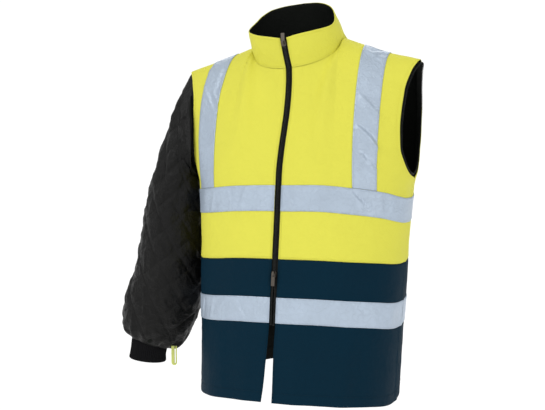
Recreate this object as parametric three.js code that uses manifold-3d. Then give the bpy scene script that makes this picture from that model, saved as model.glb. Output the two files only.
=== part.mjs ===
import * as THREE from 'three';
import { mergeVertices } from 'three/addons/utils/BufferGeometryUtils.js';
import Module from 'manifold-3d';

// High-visibility work bodywarmer, worn shape with nobody in it, with one quilted sleeve zipped on.
// Millimetres. X runs to the wearer's left, -Y is the front, Z is up. The origin lies midway between
// the two points where the collar meets the shoulder seams.

const wasm = await Module();
wasm.setup();

// Cloth thicknesses and the clearance between neighbouring pieces.
const SHELL = 1.6;
const LINING = 1.2;
const TAPE = 1.0;
const GAP = 0.3;

// How far each layer's two faces lie outside the garment's surface.
const LAYERS = {
  shell: { outer: 0, inner: -SHELL },
  lining: { outer: -SHELL - GAP, inner: -SHELL - GAP - LINING },
  tape: { outer: GAP + TAPE, inner: GAP },
  facing: { outer: -3.6, inner: -4.8 },
};

// Horizontal sections of the body. Each row is a height: how far forward the front reaches, where the
// side seams lie, how far back the back reaches, the half width, and the sideways shift of the sides.
const CHEST = -255;
const BODY = [
  { z: -695, front: -172, side: 2, back: 150, half: 209, shift: 2 },
  { z: -540, front: -153, side: 6, back: 155, half: 211, shift: 5 },
  { z: -430, front: -142, side: 10, back: 158, half: 216, shift: 6 },
  { z: -385, front: -138, side: 14, back: 160, half: 216, shift: 6 },
  { z: -340, front: -135, side: 17, back: 161, half: 218, shift: 6 },
  { z: CHEST, front: -130, side: 20, back: 162, half: 223, shift: 6 },
];
const SECTION_POWER = 2.25;

// Neckline and shoulder line, the top edge of the body.
const NECK = { half: 92, frontY: -83, frontZ: -50, backY: 62, backZ: 12, dip: 0.75 };
const SHOULDER_TIP = new THREE.Vector3(243, 6, -47);
const SHOULDER_HOLLOW = { '-1': -1, 1: 5 };
const NECK_SHARE = 0.3;
const SHOULDER_TILT = { rise: 14, reach: 140 };
const SHOULDER_PULL = 95;
const ARMHOLE_SPREAD = 18;

// Directions in which the cloth reaches the neckline in front and behind, and how far in it turns over.
const NECK_DIRECTION = { '-1': new THREE.Vector3(0, -0.1, 0.99), 1: new THREE.Vector3(0, -0.3, 0.95) };
const OVER_FROM = 0.05;
const SHOULDER_RISE = 0.12;

// Sideways path of the zip line.
const ZIP_PATH = [
  { z: -695, x: 6 }, { z: -541, x: 2 }, { z: -415, x: 3 },
  { z: -264, x: 6 }, { z: -110, x: 9 }, { z: 0, x: 8 },
];

// How far a level line hangs below its height at the front centre, across the half widths.
const SAG = [
  { s: -1, drop: 31 }, { s: -0.88, drop: 29.5 }, { s: -0.64, drop: 23 }, { s: -0.43, drop: 15 },
  { s: -0.2, drop: 5 }, { s: 0, drop: 0 }, { s: 0.2, drop: -2 }, { s: 0.45, drop: 3 },
  { s: 0.65, drop: 10 }, { s: 0.8, drop: 18 }, { s: 0.9, drop: 22 }, { s: 1, drop: 23.5 },
];

// On the wearer's left the lines hang more at the chest and less at the waist.
const LEFT_SAG = [
  { z: -695, scale: 1 }, { z: -537, scale: 0.95 }, { z: -413, scale: 0.72 }, { z: -321, scale: 1.25 },
  { z: CHEST, scale: 1.35 },
];

// Armholes: the share of the half width that the panel keeps at each height.
const ARMHOLE_BOTTOM = -232;
const ARMHOLE = [
  { z: ARMHOLE_BOTTOM, front: 1, back: 1 }, { z: -226, front: 0.9, back: 0.93 },
  { z: -212, front: 0.8, back: 0.86 }, { z: -190, front: 0.72, back: 0.8 },
  { z: -150, front: 0.69, back: 0.77 }, { z: -105, front: 0.71, back: 0.78 },
  { z: -60, front: 0.79, back: 0.84 }, { z: -25, front: 0.9, back: 0.93 }, { z: 0, front: 1, back: 1 },
];

// Heights of the tapes, the colour change and the zip's end.
const CHEST_BAND = { top: -271.5, bottom: -321.5 };
const HIP_BAND = { top: -487, bottom: -537 };
const COLOUR_CHANGE = -413.5;
const ZIP_END = -541;
const HEM = -691;

// Shoulder tapes: how far their two edges lie from the middle, on the wearer's right and left.
const BRACES = [
  { z: CHEST_BAND.top, rightInner: 142, rightOuter: 188, leftInner: 144, leftOuter: 184 },
  { z: -130, rightInner: 146, rightOuter: 194, leftInner: 139, leftOuter: 184 },
  { z: 0, rightInner: 134, rightOuter: 183, leftInner: 135, leftOuter: 185 },
];

// Zip: half the uncovered width, tape width, coil width and height, how far from the line the facing
// ends and at least how wide it is, and the lower slider's height.
const ZIP = { reveal: 6.5, tape: 14, coil: 3, rise: 0.4, facing: 16, flange: 9.5 };
const LOWER_SLIDER = -441;

// Distance from the zip line to each front's edge below the zip, where the fronts part.
const OPENING = [
  { z: HEM, left: 1.5, right: 21 }, { z: -650, left: 3, right: 15 }, { z: -600, left: 4, right: 10.5 },
  { z: -570, left: 5, right: 8 }, { z: ZIP_END, left: ZIP.reveal, right: ZIP.reveal },
  { z: 0, left: ZIP.reveal, right: ZIP.reveal },
];

// Collar rim: centre, each side's half width, half depth, and its height on each side from the front (q 0)
// to the back (q 1).
const RIM = { x: -8, y: -28, half: { '-1': 85, 1: 87 }, depth: 76, frontX: 4.5, bulge: 1.5 };
const RIM_HEIGHTS = [
  { q: 0, right: 4, left: 4 }, { q: 0.1, right: 10, left: 9 }, { q: 0.25, right: 20, left: 14.5 },
  { q: 0.45, right: 33, left: 24 }, { q: 0.55, right: 43.5, left: 34 }, { q: 0.65, right: 60, left: 51 },
  { q: 0.75, right: 72, left: 66 }, { q: 0.9, right: 78.5, left: 77.5 }, { q: 1, right: 79.5, left: 79.5 },
];

// Heights of the rows of points that all layers of the body share.
const YOKE_ROWS = [0, -14, -32, -55, -82, -112, -145, -175, -200, -218, -226, ARMHOLE_BOTTOM, -250];
const WAIST_ROWS = [CHEST_BAND.top, CHEST_BAND.bottom, -352, -384, COLOUR_CHANGE];
const HIP_ROWS = [-450, HIP_BAND.top, HIP_BAND.bottom, -588, -640, HEM];
const BODY_ROWS = [...YOKE_ROWS, ...WAIST_ROWS, ...HIP_ROWS];
const HAIR = 0.15;

const COLOURS = {
  yellow: 0xe3df51, silver: 0xb9c5d2, navy: 0x112d3c, black: 0x1d1d1d, lining: 0x0c0e0c,
  zip: 0x2d312f, metal: 0x9a958c, loop: 0xdfe785, rib: 0x111111,
};

// Monotone cubic curve through the rows of a table.
function curve(rows, key, value) {
  const xs = rows.map((row) => row[key]);
  const ys = rows.map((row) => row[value]);
  const slopes = xs.slice(1).map((x, i) => (ys[i + 1] - ys[i]) / (x - xs[i]));
  const tangents = xs.map((_, i) => {
    if (i === 0) return slopes[0];
    if (i === xs.length - 1) return slopes[i - 1];
    const product = slopes[i - 1] * slopes[i];
    return product <= 0 ? 0 : (2 * product) / (slopes[i - 1] + slopes[i]);
  });
  return (x) => {
    const at = THREE.MathUtils.clamp(x, xs[0], xs[xs.length - 1]);
    let i = 0;
    while (i < xs.length - 2 && at > xs[i + 1]) i += 1;
    const width = xs[i + 1] - xs[i];
    const t = (at - xs[i]) / width;
    const rise = width * (tangents[i] * (t ** 3 - 2 * t ** 2 + t) + tangents[i + 1] * (t ** 3 - t ** 2));
    return ys[i] + (ys[i + 1] - ys[i]) * (3 * t ** 2 - 2 * t ** 3) + rise;
  };
}

const SECTION_KEYS = ['front', 'side', 'back', 'half', 'shift'];
const section = Object.fromEntries(SECTION_KEYS.map((key) => [key, curve(BODY, 'z', key)]));
const zipX = curve(ZIP_PATH, 'z', 'x');
const drop = curve(SAG, 's', 'drop');
const leftSag = curve(LEFT_SAG, 'z', 'scale');
const sag = (s, level) => drop(s) * (s > 0 ? leftSag(level) : 1);
const armhole = { '-1': curve(ARMHOLE, 'z', 'front'), 1: curve(ARMHOLE, 'z', 'back') };
const rimHeight = { '-1': curve(RIM_HEIGHTS, 'q', 'right'), 1: curve(RIM_HEIGHTS, 'q', 'left') };
const brace = {
  '-1': { inner: curve(BRACES, 'z', 'rightInner'), outer: curve(BRACES, 'z', 'rightOuter') },
  1: { inner: curve(BRACES, 'z', 'leftInner'), outer: curve(BRACES, 'z', 'leftOuter') },
};
const opening = { '-1': curve(OPENING, 'z', 'right'), 1: curve(OPENING, 'z', 'left') };

const vec = (x, y, z) => new THREE.Vector3(x, y, z);
const smooth = (t) => THREE.MathUtils.smoothstep(t, 0, 1);
const quarter = (t) => (t * Math.PI) / 2;

// The wearer's right shoulder hangs a little lower than the left.
const tilt = (x) => SHOULDER_TILT.rise * Math.tanh(x / SHOULDER_TILT.reach);

// Point of the lower body: a rounded-square section at height z, at share s of the half width.
function lowerPoint(face, s, z) {
  const angle = quarter(s);
  const reach = face < 0 ? section.front(z) : section.back(z);
  const x = section.half(z) * Math.sin(angle) ** (2 / SECTION_POWER);
  const side = section.side(z);
  const y = side + (reach - side) * Math.max(Math.cos(angle), 0) ** (2 / SECTION_POWER);
  return vec(x, y, z);
}

// Point of the neckline or the shoulder line at share s.
function topPoint(face, s, side) {
  if (s < NECK_SHARE) {
    const angle = quarter(s / NECK_SHARE);
    const y = face < 0 ? NECK.frontY : NECK.backY;
    const z = face < 0 ? NECK.frontZ : NECK.backZ;
    const toCentre = Math.max(Math.cos(angle), 0);
    return vec(NECK.half * Math.sin(angle), y * toCentre, z * toCentre ** NECK.dip);
  }
  const along = 1 - (1 - (s - NECK_SHARE) / (1 - NECK_SHARE)) ** 1.6;
  const point = vec(NECK.half, 0, 0).lerp(SHOULDER_TIP, along);
  point.z -= SHOULDER_HOLLOW[side] * Math.sin(along * Math.PI);
  return point;
}

// How far a share lies towards the shoulder, where the cloth turns over instead of up the neck.
const overShoulder = (share) => smooth((share - OVER_FROM) / (NECK_SHARE - OVER_FROM));

// Direction in which the cloth reaches the top edge: up the neck in the middle, over the shoulder outside.
function topDirection(face, s) {
  return NECK_DIRECTION[face].clone().lerp(vec(0, -face, SHOULDER_RISE), overShoulder(s)).normalize();
}

// Point of the garment's surface. face is -1 for the front and 1 for the back, s runs from -1 at the
// wearer's right to 1 at the wearer's left, and level is the height at the front centre.
function form(face, s, level) {
  const share = Math.abs(s);
  let point = lowerPoint(face, share, Math.min(level, CHEST));
  const rise = THREE.MathUtils.clamp((level - CHEST) / -CHEST, 0, 1);
  if (rise > 0) {
    const end = topPoint(face, share, s < 0 ? -1 : 1);
    const span = end.distanceTo(point);
    const over = overShoulder(share);
    const slope = point.clone().sub(lowerPoint(face, share, CHEST - 30)).divideScalar(30);
    const depth = Math.abs(end.y - point.y);
    const pull = span * (1 - over) + (SHOULDER_PULL + 0.75 * depth) * over;
    const t = rise;
    point = point.clone().multiplyScalar(2 * t ** 3 - 3 * t ** 2 + 1)
      .addScaledVector(slope, span * (t ** 3 - 2 * t ** 2 + t))
      .addScaledVector(end, -2 * t ** 3 + 3 * t ** 2)
      .addScaledVector(topDirection(face, share), pull * (t ** 3 - t ** 2));
    point.x += ARMHOLE_SPREAD * smooth((share - 0.2) / 0.6) * Math.sin(Math.PI * t) ** 1.2;
  }
  point.x *= Math.sign(s);
  point.x += section.shift(Math.min(level, CHEST)) * smooth((share - 0.3) / 0.7) * (1 - smooth(rise));
  if (face < 0) point.x += zipX(level) * (1 - smooth(share / NECK_SHARE));
  point.z -= sag(s, level) * (1 - smooth(rise));
  point.z += tilt(point.x) * smooth((level + 300) / 250);
  return point;
}

// Outward normal of a surface given as a function of two parameters, by small steps inside its range.
function surfaceNormal(at, u, v, limits) {
  const step = { u: 0.002, v: limits.stepV };
  const u0 = Math.max(u - step.u, limits.minU);
  const u1 = Math.min(u + step.u, limits.maxU);
  const v0 = Math.max(v - step.v, limits.minV);
  const v1 = Math.min(v + step.v, limits.maxV);
  const across = at(u1, v).sub(at(u0, v));
  const along = at(u, v1).sub(at(u, v0));
  return across.cross(along).normalize();
}

function formNormal(face, s, level) {
  const limits = { minU: -1, maxU: 1, minV: HEM - 10, maxV: 0, stepV: 1 };
  const normal = surfaceNormal((u, v) => form(face, u, v), s, level, limits);
  return normal.multiplyScalar(-face);
}

// Share s at which a test value that grows with s reaches its target.
function solve(test, low, high) {
  let [a, b] = [low, high];
  for (let i = 0; i < 40; i += 1) {
    const middle = (a + b) / 2;
    if (test(middle) < 0) a = middle;
    else b = middle;
  }
  return (a + b) / 2;
}

// Share at a sideways distance x from the middle plane.
function shareAtX(face, side, x, level) {
  return solve((s) => side * form(face, side * s, level).x - x, 0, 1);
}

// Share at a distance from the zip line.
function shareFromZip(side, distance, level) {
  const centre = form(-1, 0, level);
  return solve((s) => form(-1, side * s, level).distanceTo(centre) - distance, 0, 0.5);
}

// Even steps from one value, left out, to another.
function spread(from, to, steps) {
  return Array.from({ length: steps }, (_, i) => from + ((to - from) * (i + 1)) / steps);
}

// Shares of the columns of points on one half of the body, from the middle out. They keep to the front
// edge, the facing, the neck point, both edges of the shoulder tape and the armhole or side seam.
function columns(face, side, level) {
  const neck = shareAtX(face, side, NECK.half, level);
  const inner = shareAtX(face, side, brace[side].inner(level), level);
  const outer = shareAtX(face, side, brace[side].outer(level), level);
  const end = level > ARMHOLE_BOTTOM ? armhole[face](level) : 1 - 0.0006;
  const outside = [...spread(neck, inner, 2), ...spread(inner, outer, 2), ...spread(outer, end, 3)];
  if (face > 0) return [0, ...spread(0, neck, 5), ...outside];
  const edge = opening[side](level);
  const facing = shareFromZip(side, Math.max(edge + ZIP.flange, ZIP.facing), level);
  return [shareFromZip(side, edge, level), facing, ...spread(facing, neck, 4), ...outside];
}
const COLUMN = { neck: 5, braceInner: 7, braceOuter: 9 };

// Rows of points with normals for one half of the body. The shoulder seam's normals are shared by the
// front and the back, so that their layers stay apart there.
function halfGrid(face, side) {
  return BODY_ROWS.map((level) => {
    const height = level === 0 ? -2 * HAIR : level;
    return columns(face, side, height).map((share, column) => {
      const s = side * share;
      const normal = formNormal(face, s, height);
      if (level === 0 && column >= COLUMN.neck) normal.add(formNormal(-face, s, height)).normalize();
      return { point: form(face, s, height), normal };
    });
  });
}

const GRIDS = {
  frontRight: halfGrid(-1, -1),
  frontLeft: halfGrid(-1, 1),
  backRight: halfGrid(1, -1),
  backLeft: halfGrid(1, 1),
};
GRIDS.back = GRIDS.backRight.map((row, i) => [...row.slice(1).reverse(), ...GRIDS.backLeft[i]]);

// Part of a grid, between two levels and two columns. Its end rows draw back a hair from their
// neighbours, so that two pieces sewn together keep a fine gap.
function patch(grid, { top = 0, bottom = HEM, from = 0, to = Infinity }) {
  const first = BODY_ROWS.indexOf(top);
  const last = BODY_ROWS.indexOf(bottom);
  const cells = grid.slice(first, last + 1).map((row) => row.slice(from, to + 1).map((c) => ({ ...c })));
  const draw = (row, next) => row.forEach((cell, i) => {
    const step = next[i].point.clone().sub(cell.point).setLength(HAIR);
    row[i] = { ...cell, point: cell.point.clone().add(step) };
  });
  if (top !== 0) draw(cells[0], cells[1]);
  if (bottom !== HEM) draw(cells[cells.length - 1], cells[cells.length - 2]);
  return cells;
}

// Closed mesh between an outer and an inner grid of points, stitched round the border. A ring's last
// column meets its first. split picks the diagonal of each cell.
function slab(outer, inner, { ring = false, split = () => true } = {}) {
  const rows = outer.length;
  const across = outer[0].length;
  const index = (layer, r, c) => (layer * rows + r) * across + (c % across);
  const points = [...outer.flat(), ...inner.flat()];
  const faces = [];
  const quad = (a, b, c, d, first = true) => {
    if (first) faces.push([a, b, c], [a, c, d]);
    else faces.push([a, b, d], [b, c, d]);
  };
  const last = ring ? across : across - 1;
  for (let r = 0; r < rows - 1; r += 1) {
    for (let c = 0; c < last; c += 1) {
      const way = split(r, c);
      quad(index(0, r, c), index(0, r + 1, c), index(0, r + 1, c + 1), index(0, r, c + 1), way);
      quad(index(1, r, c + 1), index(1, r + 1, c + 1), index(1, r + 1, c), index(1, r, c), !way);
    }
  }
  for (let c = 0; c < last; c += 1) {
    quad(index(0, 0, c + 1), index(1, 0, c + 1), index(1, 0, c), index(0, 0, c));
    const end = rows - 1;
    quad(index(0, end, c), index(1, end, c), index(1, end, c + 1), index(0, end, c + 1));
  }
  if (!ring) {
    for (let r = 0; r < rows - 1; r += 1) {
      quad(index(0, r, 0), index(1, r, 0), index(1, r + 1, 0), index(0, r + 1, 0));
      quad(index(0, r + 1, last), index(1, r + 1, last), index(1, r, last), index(0, r, last));
    }
  }
  return facedOut(points, faces);
}

// Geometry from points and faces, turned so that the faces point out.
function facedOut(points, faces) {
  const wedge = ([a, b, c]) => points[a].dot(points[b].clone().cross(points[c]));
  const volume = faces.reduce((sum, face) => sum + wedge(face), 0);
  const turned = volume < 0 ? faces.map(([a, b, c]) => [a, c, b]) : faces;
  const geometry = new THREE.BufferGeometry();
  const coordinates = points.flatMap((p) => [p.x, p.y, p.z]);
  geometry.setAttribute('position', new THREE.Float32BufferAttribute(coordinates, 3));
  geometry.setIndex(turned.flat());
  geometry.computeVertexNormals();
  return geometry;
}

// Points of a grid moved out along their normals.
function offset(cells, distance) {
  return cells.map((row) => row.map((cell) => cell.point.clone().addScaledVector(cell.normal, distance)));
}

// Cloth wall of a grid, between a layer's two faces.
function sheet(cells, layer, options) {
  return slab(offset(cells, layer.outer), offset(cells, layer.inner), options);
}

const garment = new THREE.Group();

function add(name, geometry, colour, { rough = 0.7, metal = 0, parent = garment } = {}) {
  const material = new THREE.MeshStandardMaterial({ color: colour, roughness: rough, metalness: metal });
  const mesh = new THREE.Mesh(geometry, material);
  mesh.name = name;
  parent.add(mesh);
  return mesh;
}

// Shell panels, yellow above and navy below.
function addShell() {
  const upper = { top: 0, bottom: COLOUR_CHANGE };
  const lower = { top: COLOUR_CHANGE, bottom: HEM };
  const panels = { front_right: GRIDS.frontRight, front_left: GRIDS.frontLeft, back: GRIDS.back };
  for (const [name, grid] of Object.entries(panels)) {
    add(`${name}_upper_panel`, sheet(patch(grid, upper), LAYERS.shell), COLOURS.yellow);
    add(`${name}_lower_panel`, sheet(patch(grid, lower), LAYERS.shell), COLOURS.navy);
  }
  add('back_lining', sheet(GRIDS.back, LAYERS.lining), COLOURS.lining);
}

// Retro-reflective tapes: two hoops round the body, and a brace over each shoulder.
function addTapes() {
  const hoops = { chest: CHEST_BAND, hip: HIP_BAND };
  const panels = { front_right: GRIDS.frontRight, front_left: GRIDS.frontLeft, back: GRIDS.back };
  for (const [hoop, levels] of Object.entries(hoops)) {
    for (const [name, grid] of Object.entries(panels)) {
      add(`${hoop}_tape_${name}`, sheet(patch(grid, levels), LAYERS.tape), COLOURS.silver, { rough: 0.4 });
    }
  }
  const columnsOfBrace = { from: COLUMN.braceInner, to: COLUMN.braceOuter };
  const stretch = { top: 0, bottom: CHEST_BAND.top, ...columnsOfBrace };
  const sides = [['right', GRIDS.frontRight, GRIDS.backRight], ['left', GRIDS.frontLeft, GRIDS.backLeft]];
  for (const [side, front, back] of sides) {
    const down = patch(front, stretch);
    const behind = patch(back, stretch);
    const over = [...behind.slice(1).reverse(), ...down];
    add(`brace_tape_${side}`, sheet(over, LAYERS.tape), COLOURS.silver, { rough: 0.4 });
  }
}

// Point of the collar's outer surface. q runs from 0 at the front centre to 1 at the back centre.
function collarPoint(side, q, t) {
  const face = q < 0.5 ? -1 : 1;
  const share = NECK_SHARE * (q < 0.5 ? 2 * q : 2 - 2 * q);
  const base = form(face, side * share, 0);
  const angle = q * Math.PI;
  const lean = RIM.x + (RIM.frontX - RIM.x) * (1 - smooth(q / 0.3));
  const rimX = lean + side * RIM.half[side] * Math.sin(angle);
  const rim = vec(rimX, RIM.y - RIM.depth * Math.cos(angle), rimHeight[side](q));
  rim.z += tilt(rim.x);
  const outward = vec(side * Math.sin(angle), -Math.cos(angle), 0);
  return base.lerp(rim, t).addScaledVector(outward, RIM.bulge * Math.sin(Math.PI * t));
}

function collarNormal(side, q, t) {
  const limits = { minU: 0, maxU: 1, minV: 0, maxV: 1, stepV: 0.01 };
  return surfaceNormal((u, v) => collarPoint(side, u, v), q, t, limits).multiplyScalar(side);
}

// Place on the collar at a distance from the zip line.
function collarFromZip(side, distance, t) {
  const centre = collarPoint(side, 0, t);
  return solve((q) => collarPoint(side, q, t).distanceTo(centre) - distance, 0, 0.4);
}

const COLLAR_ROWS = [0.008, 0.2, 0.4, 0.6, 0.8, 1];

function addCollar() {
  const half = (side) => COLLAR_ROWS.map((t) => {
    const edge = collarFromZip(side, ZIP.reveal, t);
    const facing = collarFromZip(side, ZIP.facing, t);
    const places = [edge, facing, ...spread(facing, 0.5, 4), ...spread(0.5, 1, 5)];
    return places.map((q) => ({ point: collarPoint(side, q, t), normal: collarNormal(side, q, t) }));
  });
  const right = half(-1);
  const left = half(1);
  const whole = right.map((row, i) => [...row, ...left[i].slice(0, -1).reverse()]);
  const inside = whole.map((row) => row.slice(1, -1));
  add('collar_outer', sheet(whole, LAYERS.shell), COLOURS.yellow);
  add('collar_lining', sheet(inside, LAYERS.lining), COLOURS.lining);
}

// One side of the zip: tape with its half of the coil raised along the edge, from the zip's end up
// to the collar's rim. Below the lower slider the two halves part a little.
const COIL_ROWS = [...BODY_ROWS.filter((level) => level > ZIP_END && level < 0), LOWER_SLIDER, ZIP_END];
const TAPE_PROFILE = [
  { w: 0.25, rise: -0.9 }, { w: 0.8, rise: ZIP.rise }, { w: 2.4, rise: ZIP.rise },
  { w: ZIP.coil, rise: -2.2 }, { w: ZIP.tape, rise: -2.2 },
];
const TAPE_BACK = -3.4;
const PARTING = 1.4;
const ZIP_COLLAR_ROWS = [0.96, 0.8, 0.6, 0.4, 0.2, 0];

function addZip() {
  const levels = COIL_ROWS.sort((a, b) => b - a);
  for (const [name, side] of [['right', -1], ['left', 1]]) {
    const cell = ({ w }, place) => {
      if (place.t !== undefined) {
        const q = collarFromZip(side, w, place.t);
        return { point: collarPoint(side, q, place.t), normal: collarNormal(side, q, place.t) };
      }
      const apart = PARTING * smooth((LOWER_SLIDER - place.level) / 40);
      const s = side * shareFromZip(side, w + apart, place.level);
      return { point: form(-1, s, place.level), normal: formNormal(-1, s, place.level) };
    };
    const places = [...ZIP_COLLAR_ROWS.map((t) => ({ t })), ...levels.map((level) => ({ level }))];
    const outer = places.map((place) => TAPE_PROFILE.map((step) => {
      const { point, normal } = cell(step, place);
      return point.addScaledVector(normal, step.rise);
    }));
    const inner = places.map((place) => TAPE_PROFILE.map((step) => {
      const { point, normal } = cell(step, place);
      return point.addScaledVector(normal, TAPE_BACK);
    }));
    add(`zip_tape_${name}`, slab(outer, inner), COLOURS.zip);
  }
}

// One sleeve station: centre, half width across and half depth front to back. The first ring lies below
// the armhole, the last ones turn in under the gathers to the cuff.
const SLEEVE = [
  { x: -284, y: 6, z: -345, wide: 61, deep: 70 }, { x: -293, y: 2, z: -440, wide: 70, deep: 71 },
  { x: -299, y: -3, z: -506, wide: 76, deep: 69 }, { x: -310, y: -8, z: -546, wide: 78, deep: 66 },
  { x: -318, y: -11, z: -573, wide: 76, deep: 62 }, { x: -330, y: -14, z: -611, wide: 70, deep: 54 },
  { x: -340, y: -16, z: -637, wide: 58, deep: 45 }, { x: -343, y: -17, z: -646, wide: 43, deep: 31 },
];
const CUFF = [
  { x: -340, y: -16, z: -638, wide: 39, deep: 27 }, { x: -343, y: -17, z: -648, wide: 39, deep: 27 },
  { x: -346, y: -19, z: -668, wide: 38, deep: 26 }, { x: -348, y: -20, z: -686, wide: 40, deep: 28 },
];
const VIEW_TURN = THREE.MathUtils.degToRad(22);
const QUILT = { columns: 42, cell: 6, puff: 5, wall: 1.8, headRows: 14, armRows: 27, innerStep: 3 };
const SLEEVE_TUCK = { inside: -9, insideDepth: 4.9, outside: 3.5, depth: 3.8 };
const GATHERS = { count: 14, height: 3, rows: 4 };

// Sleeve head: the directions in which the cloth leaves the armhole over the shoulder and under the arm,
// how much it leans into the hole, and how far it reaches out and lands, over the shoulder and under it.
const HEAD = {
  over: new THREE.Vector3(-0.42, 0, -0.9), under: new THREE.Vector3(-1, 0, -0.1), lean: 0.35,
  reach: [140, 45], land: [120, 60],
};
const CUFF_RIBS = { count: 32, height: 0.9, wall: 2.2, inner: 16 };

// Path through the stations of a tube, with its half width and half depth, by share of its length.
function tubePath(stations) {
  let along = 0;
  const rows = stations.map((station, i) => {
    const before = stations[Math.max(i - 1, 0)];
    along += Math.hypot(station.x - before.x, station.y - before.y, station.z - before.z);
    return { ...station, along };
  });
  const keys = ['x', 'y', 'z', 'wide', 'deep'];
  const parts = Object.fromEntries(keys.map((key) => [key, curve(rows, 'along', key)]));
  const centre = (d) => vec(parts.x(d), parts.y(d), parts.z(d));
  return { length: along, centre, wide: parts.wide, deep: parts.deep };
}

// Point of a tube's ring. turn 0 is its outer side, a quarter is its front and a half its inner side.
function ringPoint(path, distance, turn) {
  const d = THREE.MathUtils.clamp(distance, 0, path.length);
  const down = path.centre(Math.min(d + 4, path.length)).sub(path.centre(Math.max(d - 4, 0))).normalize();
  const across = vec(Math.cos(VIEW_TURN), Math.sin(VIEW_TURN), 0);
  across.addScaledVector(down, -across.dot(down)).normalize();
  const front = down.clone().cross(across);
  const angle = turn * 2 * Math.PI;
  const point = path.centre(d).addScaledVector(across, -path.wide(d) * Math.cos(angle))
    .addScaledVector(front, path.deep(d) * Math.sin(angle));
  return { point, down };
}

// The armhole's edge as a closed loop by turn, from the shoulder tip down the front and up the back,
// with the surface normal and the direction from the cloth into the hole.
function armholeLoop(side, count) {
  const steps = 80;
  const edge = (face) => Array.from({ length: steps + 1 }, (_, i) => {
    const level = (ARMHOLE_BOTTOM * i) / steps;
    const s = side * armhole[face](level);
    return { point: form(face, s, level), normal: formNormal(face, s, level) };
  });
  const resample = (samples, share) => {
    const lengths = [0];
    samples.slice(1).forEach((sample, i) => {
      lengths.push(lengths[i] + sample.point.distanceTo(samples[i].point));
    });
    const at = share * lengths[steps];
    const i = Math.min(lengths.findIndex((length) => length >= at - 1e-9) || 1, steps);
    const t = (at - lengths[i - 1]) / (lengths[i] - lengths[i - 1]);
    const [a, b] = [samples[i - 1], samples[i]];
    const normal = a.normal.clone().lerp(b.normal, t).normalize();
    return { point: a.point.clone().lerp(b.point, t), normal };
  };
  const [front, back] = [edge(-1), edge(1)];
  const loop = Array.from({ length: count }, (_, k) => {
    const turn = k / count;
    return turn <= 0.5 ? resample(front, 2 * turn) : resample(back, 2 - 2 * turn);
  });
  return loop.map((place, k) => {
    const [before, after] = [loop[(k + count - 1) % count], loop[(k + 1) % count]];
    const normal = place.normal.clone().add(before.normal).add(after.normal).normalize();
    const tangent = after.point.clone().sub(before.point).normalize();
    const into = tangent.cross(normal).normalize().multiplyScalar(-side);
    return { point: place.point, normal, into };
  });
}

// Zip tape that the bare armhole carries inside its edge, for the other sleeve.
function addArmholeTape() {
  const loop = armholeLoop(1, 44);
  const edges = [{ w: -6, dip: 3.3 }, { w: 5, dip: 0.8 }];
  const rows = edges.map(({ w, dip }) => loop.map(({ point, normal, into }) => {
    return { point: point.clone().addScaledVector(into, w).addScaledVector(normal, -dip), normal };
  }));
  add('armhole_zip_tape', sheet(rows, LAYERS.facing, { ring: true }), COLOURS.zip);
}

// Rows of the sleeve's base surface: tucked into the armhole, out and down from it, then along the arm.
function sleeveRows() {
  const path = tubePath(SLEEVE);
  const loop = armholeLoop(-1, QUILT.columns);
  const start = loop.map(({ point, normal, into }) => point.clone()
    .addScaledVector(into, SLEEVE_TUCK.outside).addScaledVector(normal, -SLEEVE_TUCK.depth));
  const tuck = loop.map(({ point, normal, into }) => point.clone()
    .addScaledVector(into, SLEEVE_TUCK.inside).addScaledVector(normal, -SLEEVE_TUCK.insideDepth));
  const head = Array.from({ length: QUILT.headRows }, (_, row) => start.map((from, k) => {
    const turn = k / QUILT.columns;
    const { point: to, down } = ringPoint(path, 0, turn);
    const under = (1 - Math.cos(turn * 2 * Math.PI)) / 2;
    const out = HEAD.over.clone().lerp(HEAD.under, under);
    out.addScaledVector(loop[k].into, HEAD.lean).normalize();
    const t = row / QUILT.headRows;
    const reach = THREE.MathUtils.lerp(...HEAD.reach, under);
    const land = THREE.MathUtils.lerp(...HEAD.land, under);
    return from.clone().multiplyScalar(2 * t ** 3 - 3 * t ** 2 + 1)
      .addScaledVector(out, reach * (t ** 3 - 2 * t ** 2 + t))
      .addScaledVector(to, -2 * t ** 3 + 3 * t ** 2)
      .addScaledVector(down, land * (t ** 3 - t ** 2));
  }));
  const arm = Array.from({ length: QUILT.armRows + 1 }, (_, row) => start.map((_, k) => {
    return ringPoint(path, (path.length * row) / QUILT.armRows, k / QUILT.columns).point;
  }));
  return [tuck, ...head, ...arm];
}

// Normals of a ring grid, from its neighbours.
function ringNormals(rows) {
  const count = rows[0].length;
  return rows.map((row, r) => row.map((_, c) => {
    const across = row[(c + 1) % count].clone().sub(row[(c + count - 1) % count]);
    const along = rows[Math.min(r + 1, rows.length - 1)][c].clone().sub(rows[Math.max(r - 1, 0)][c]);
    return along.cross(across).normalize();
  }));
}

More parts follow.
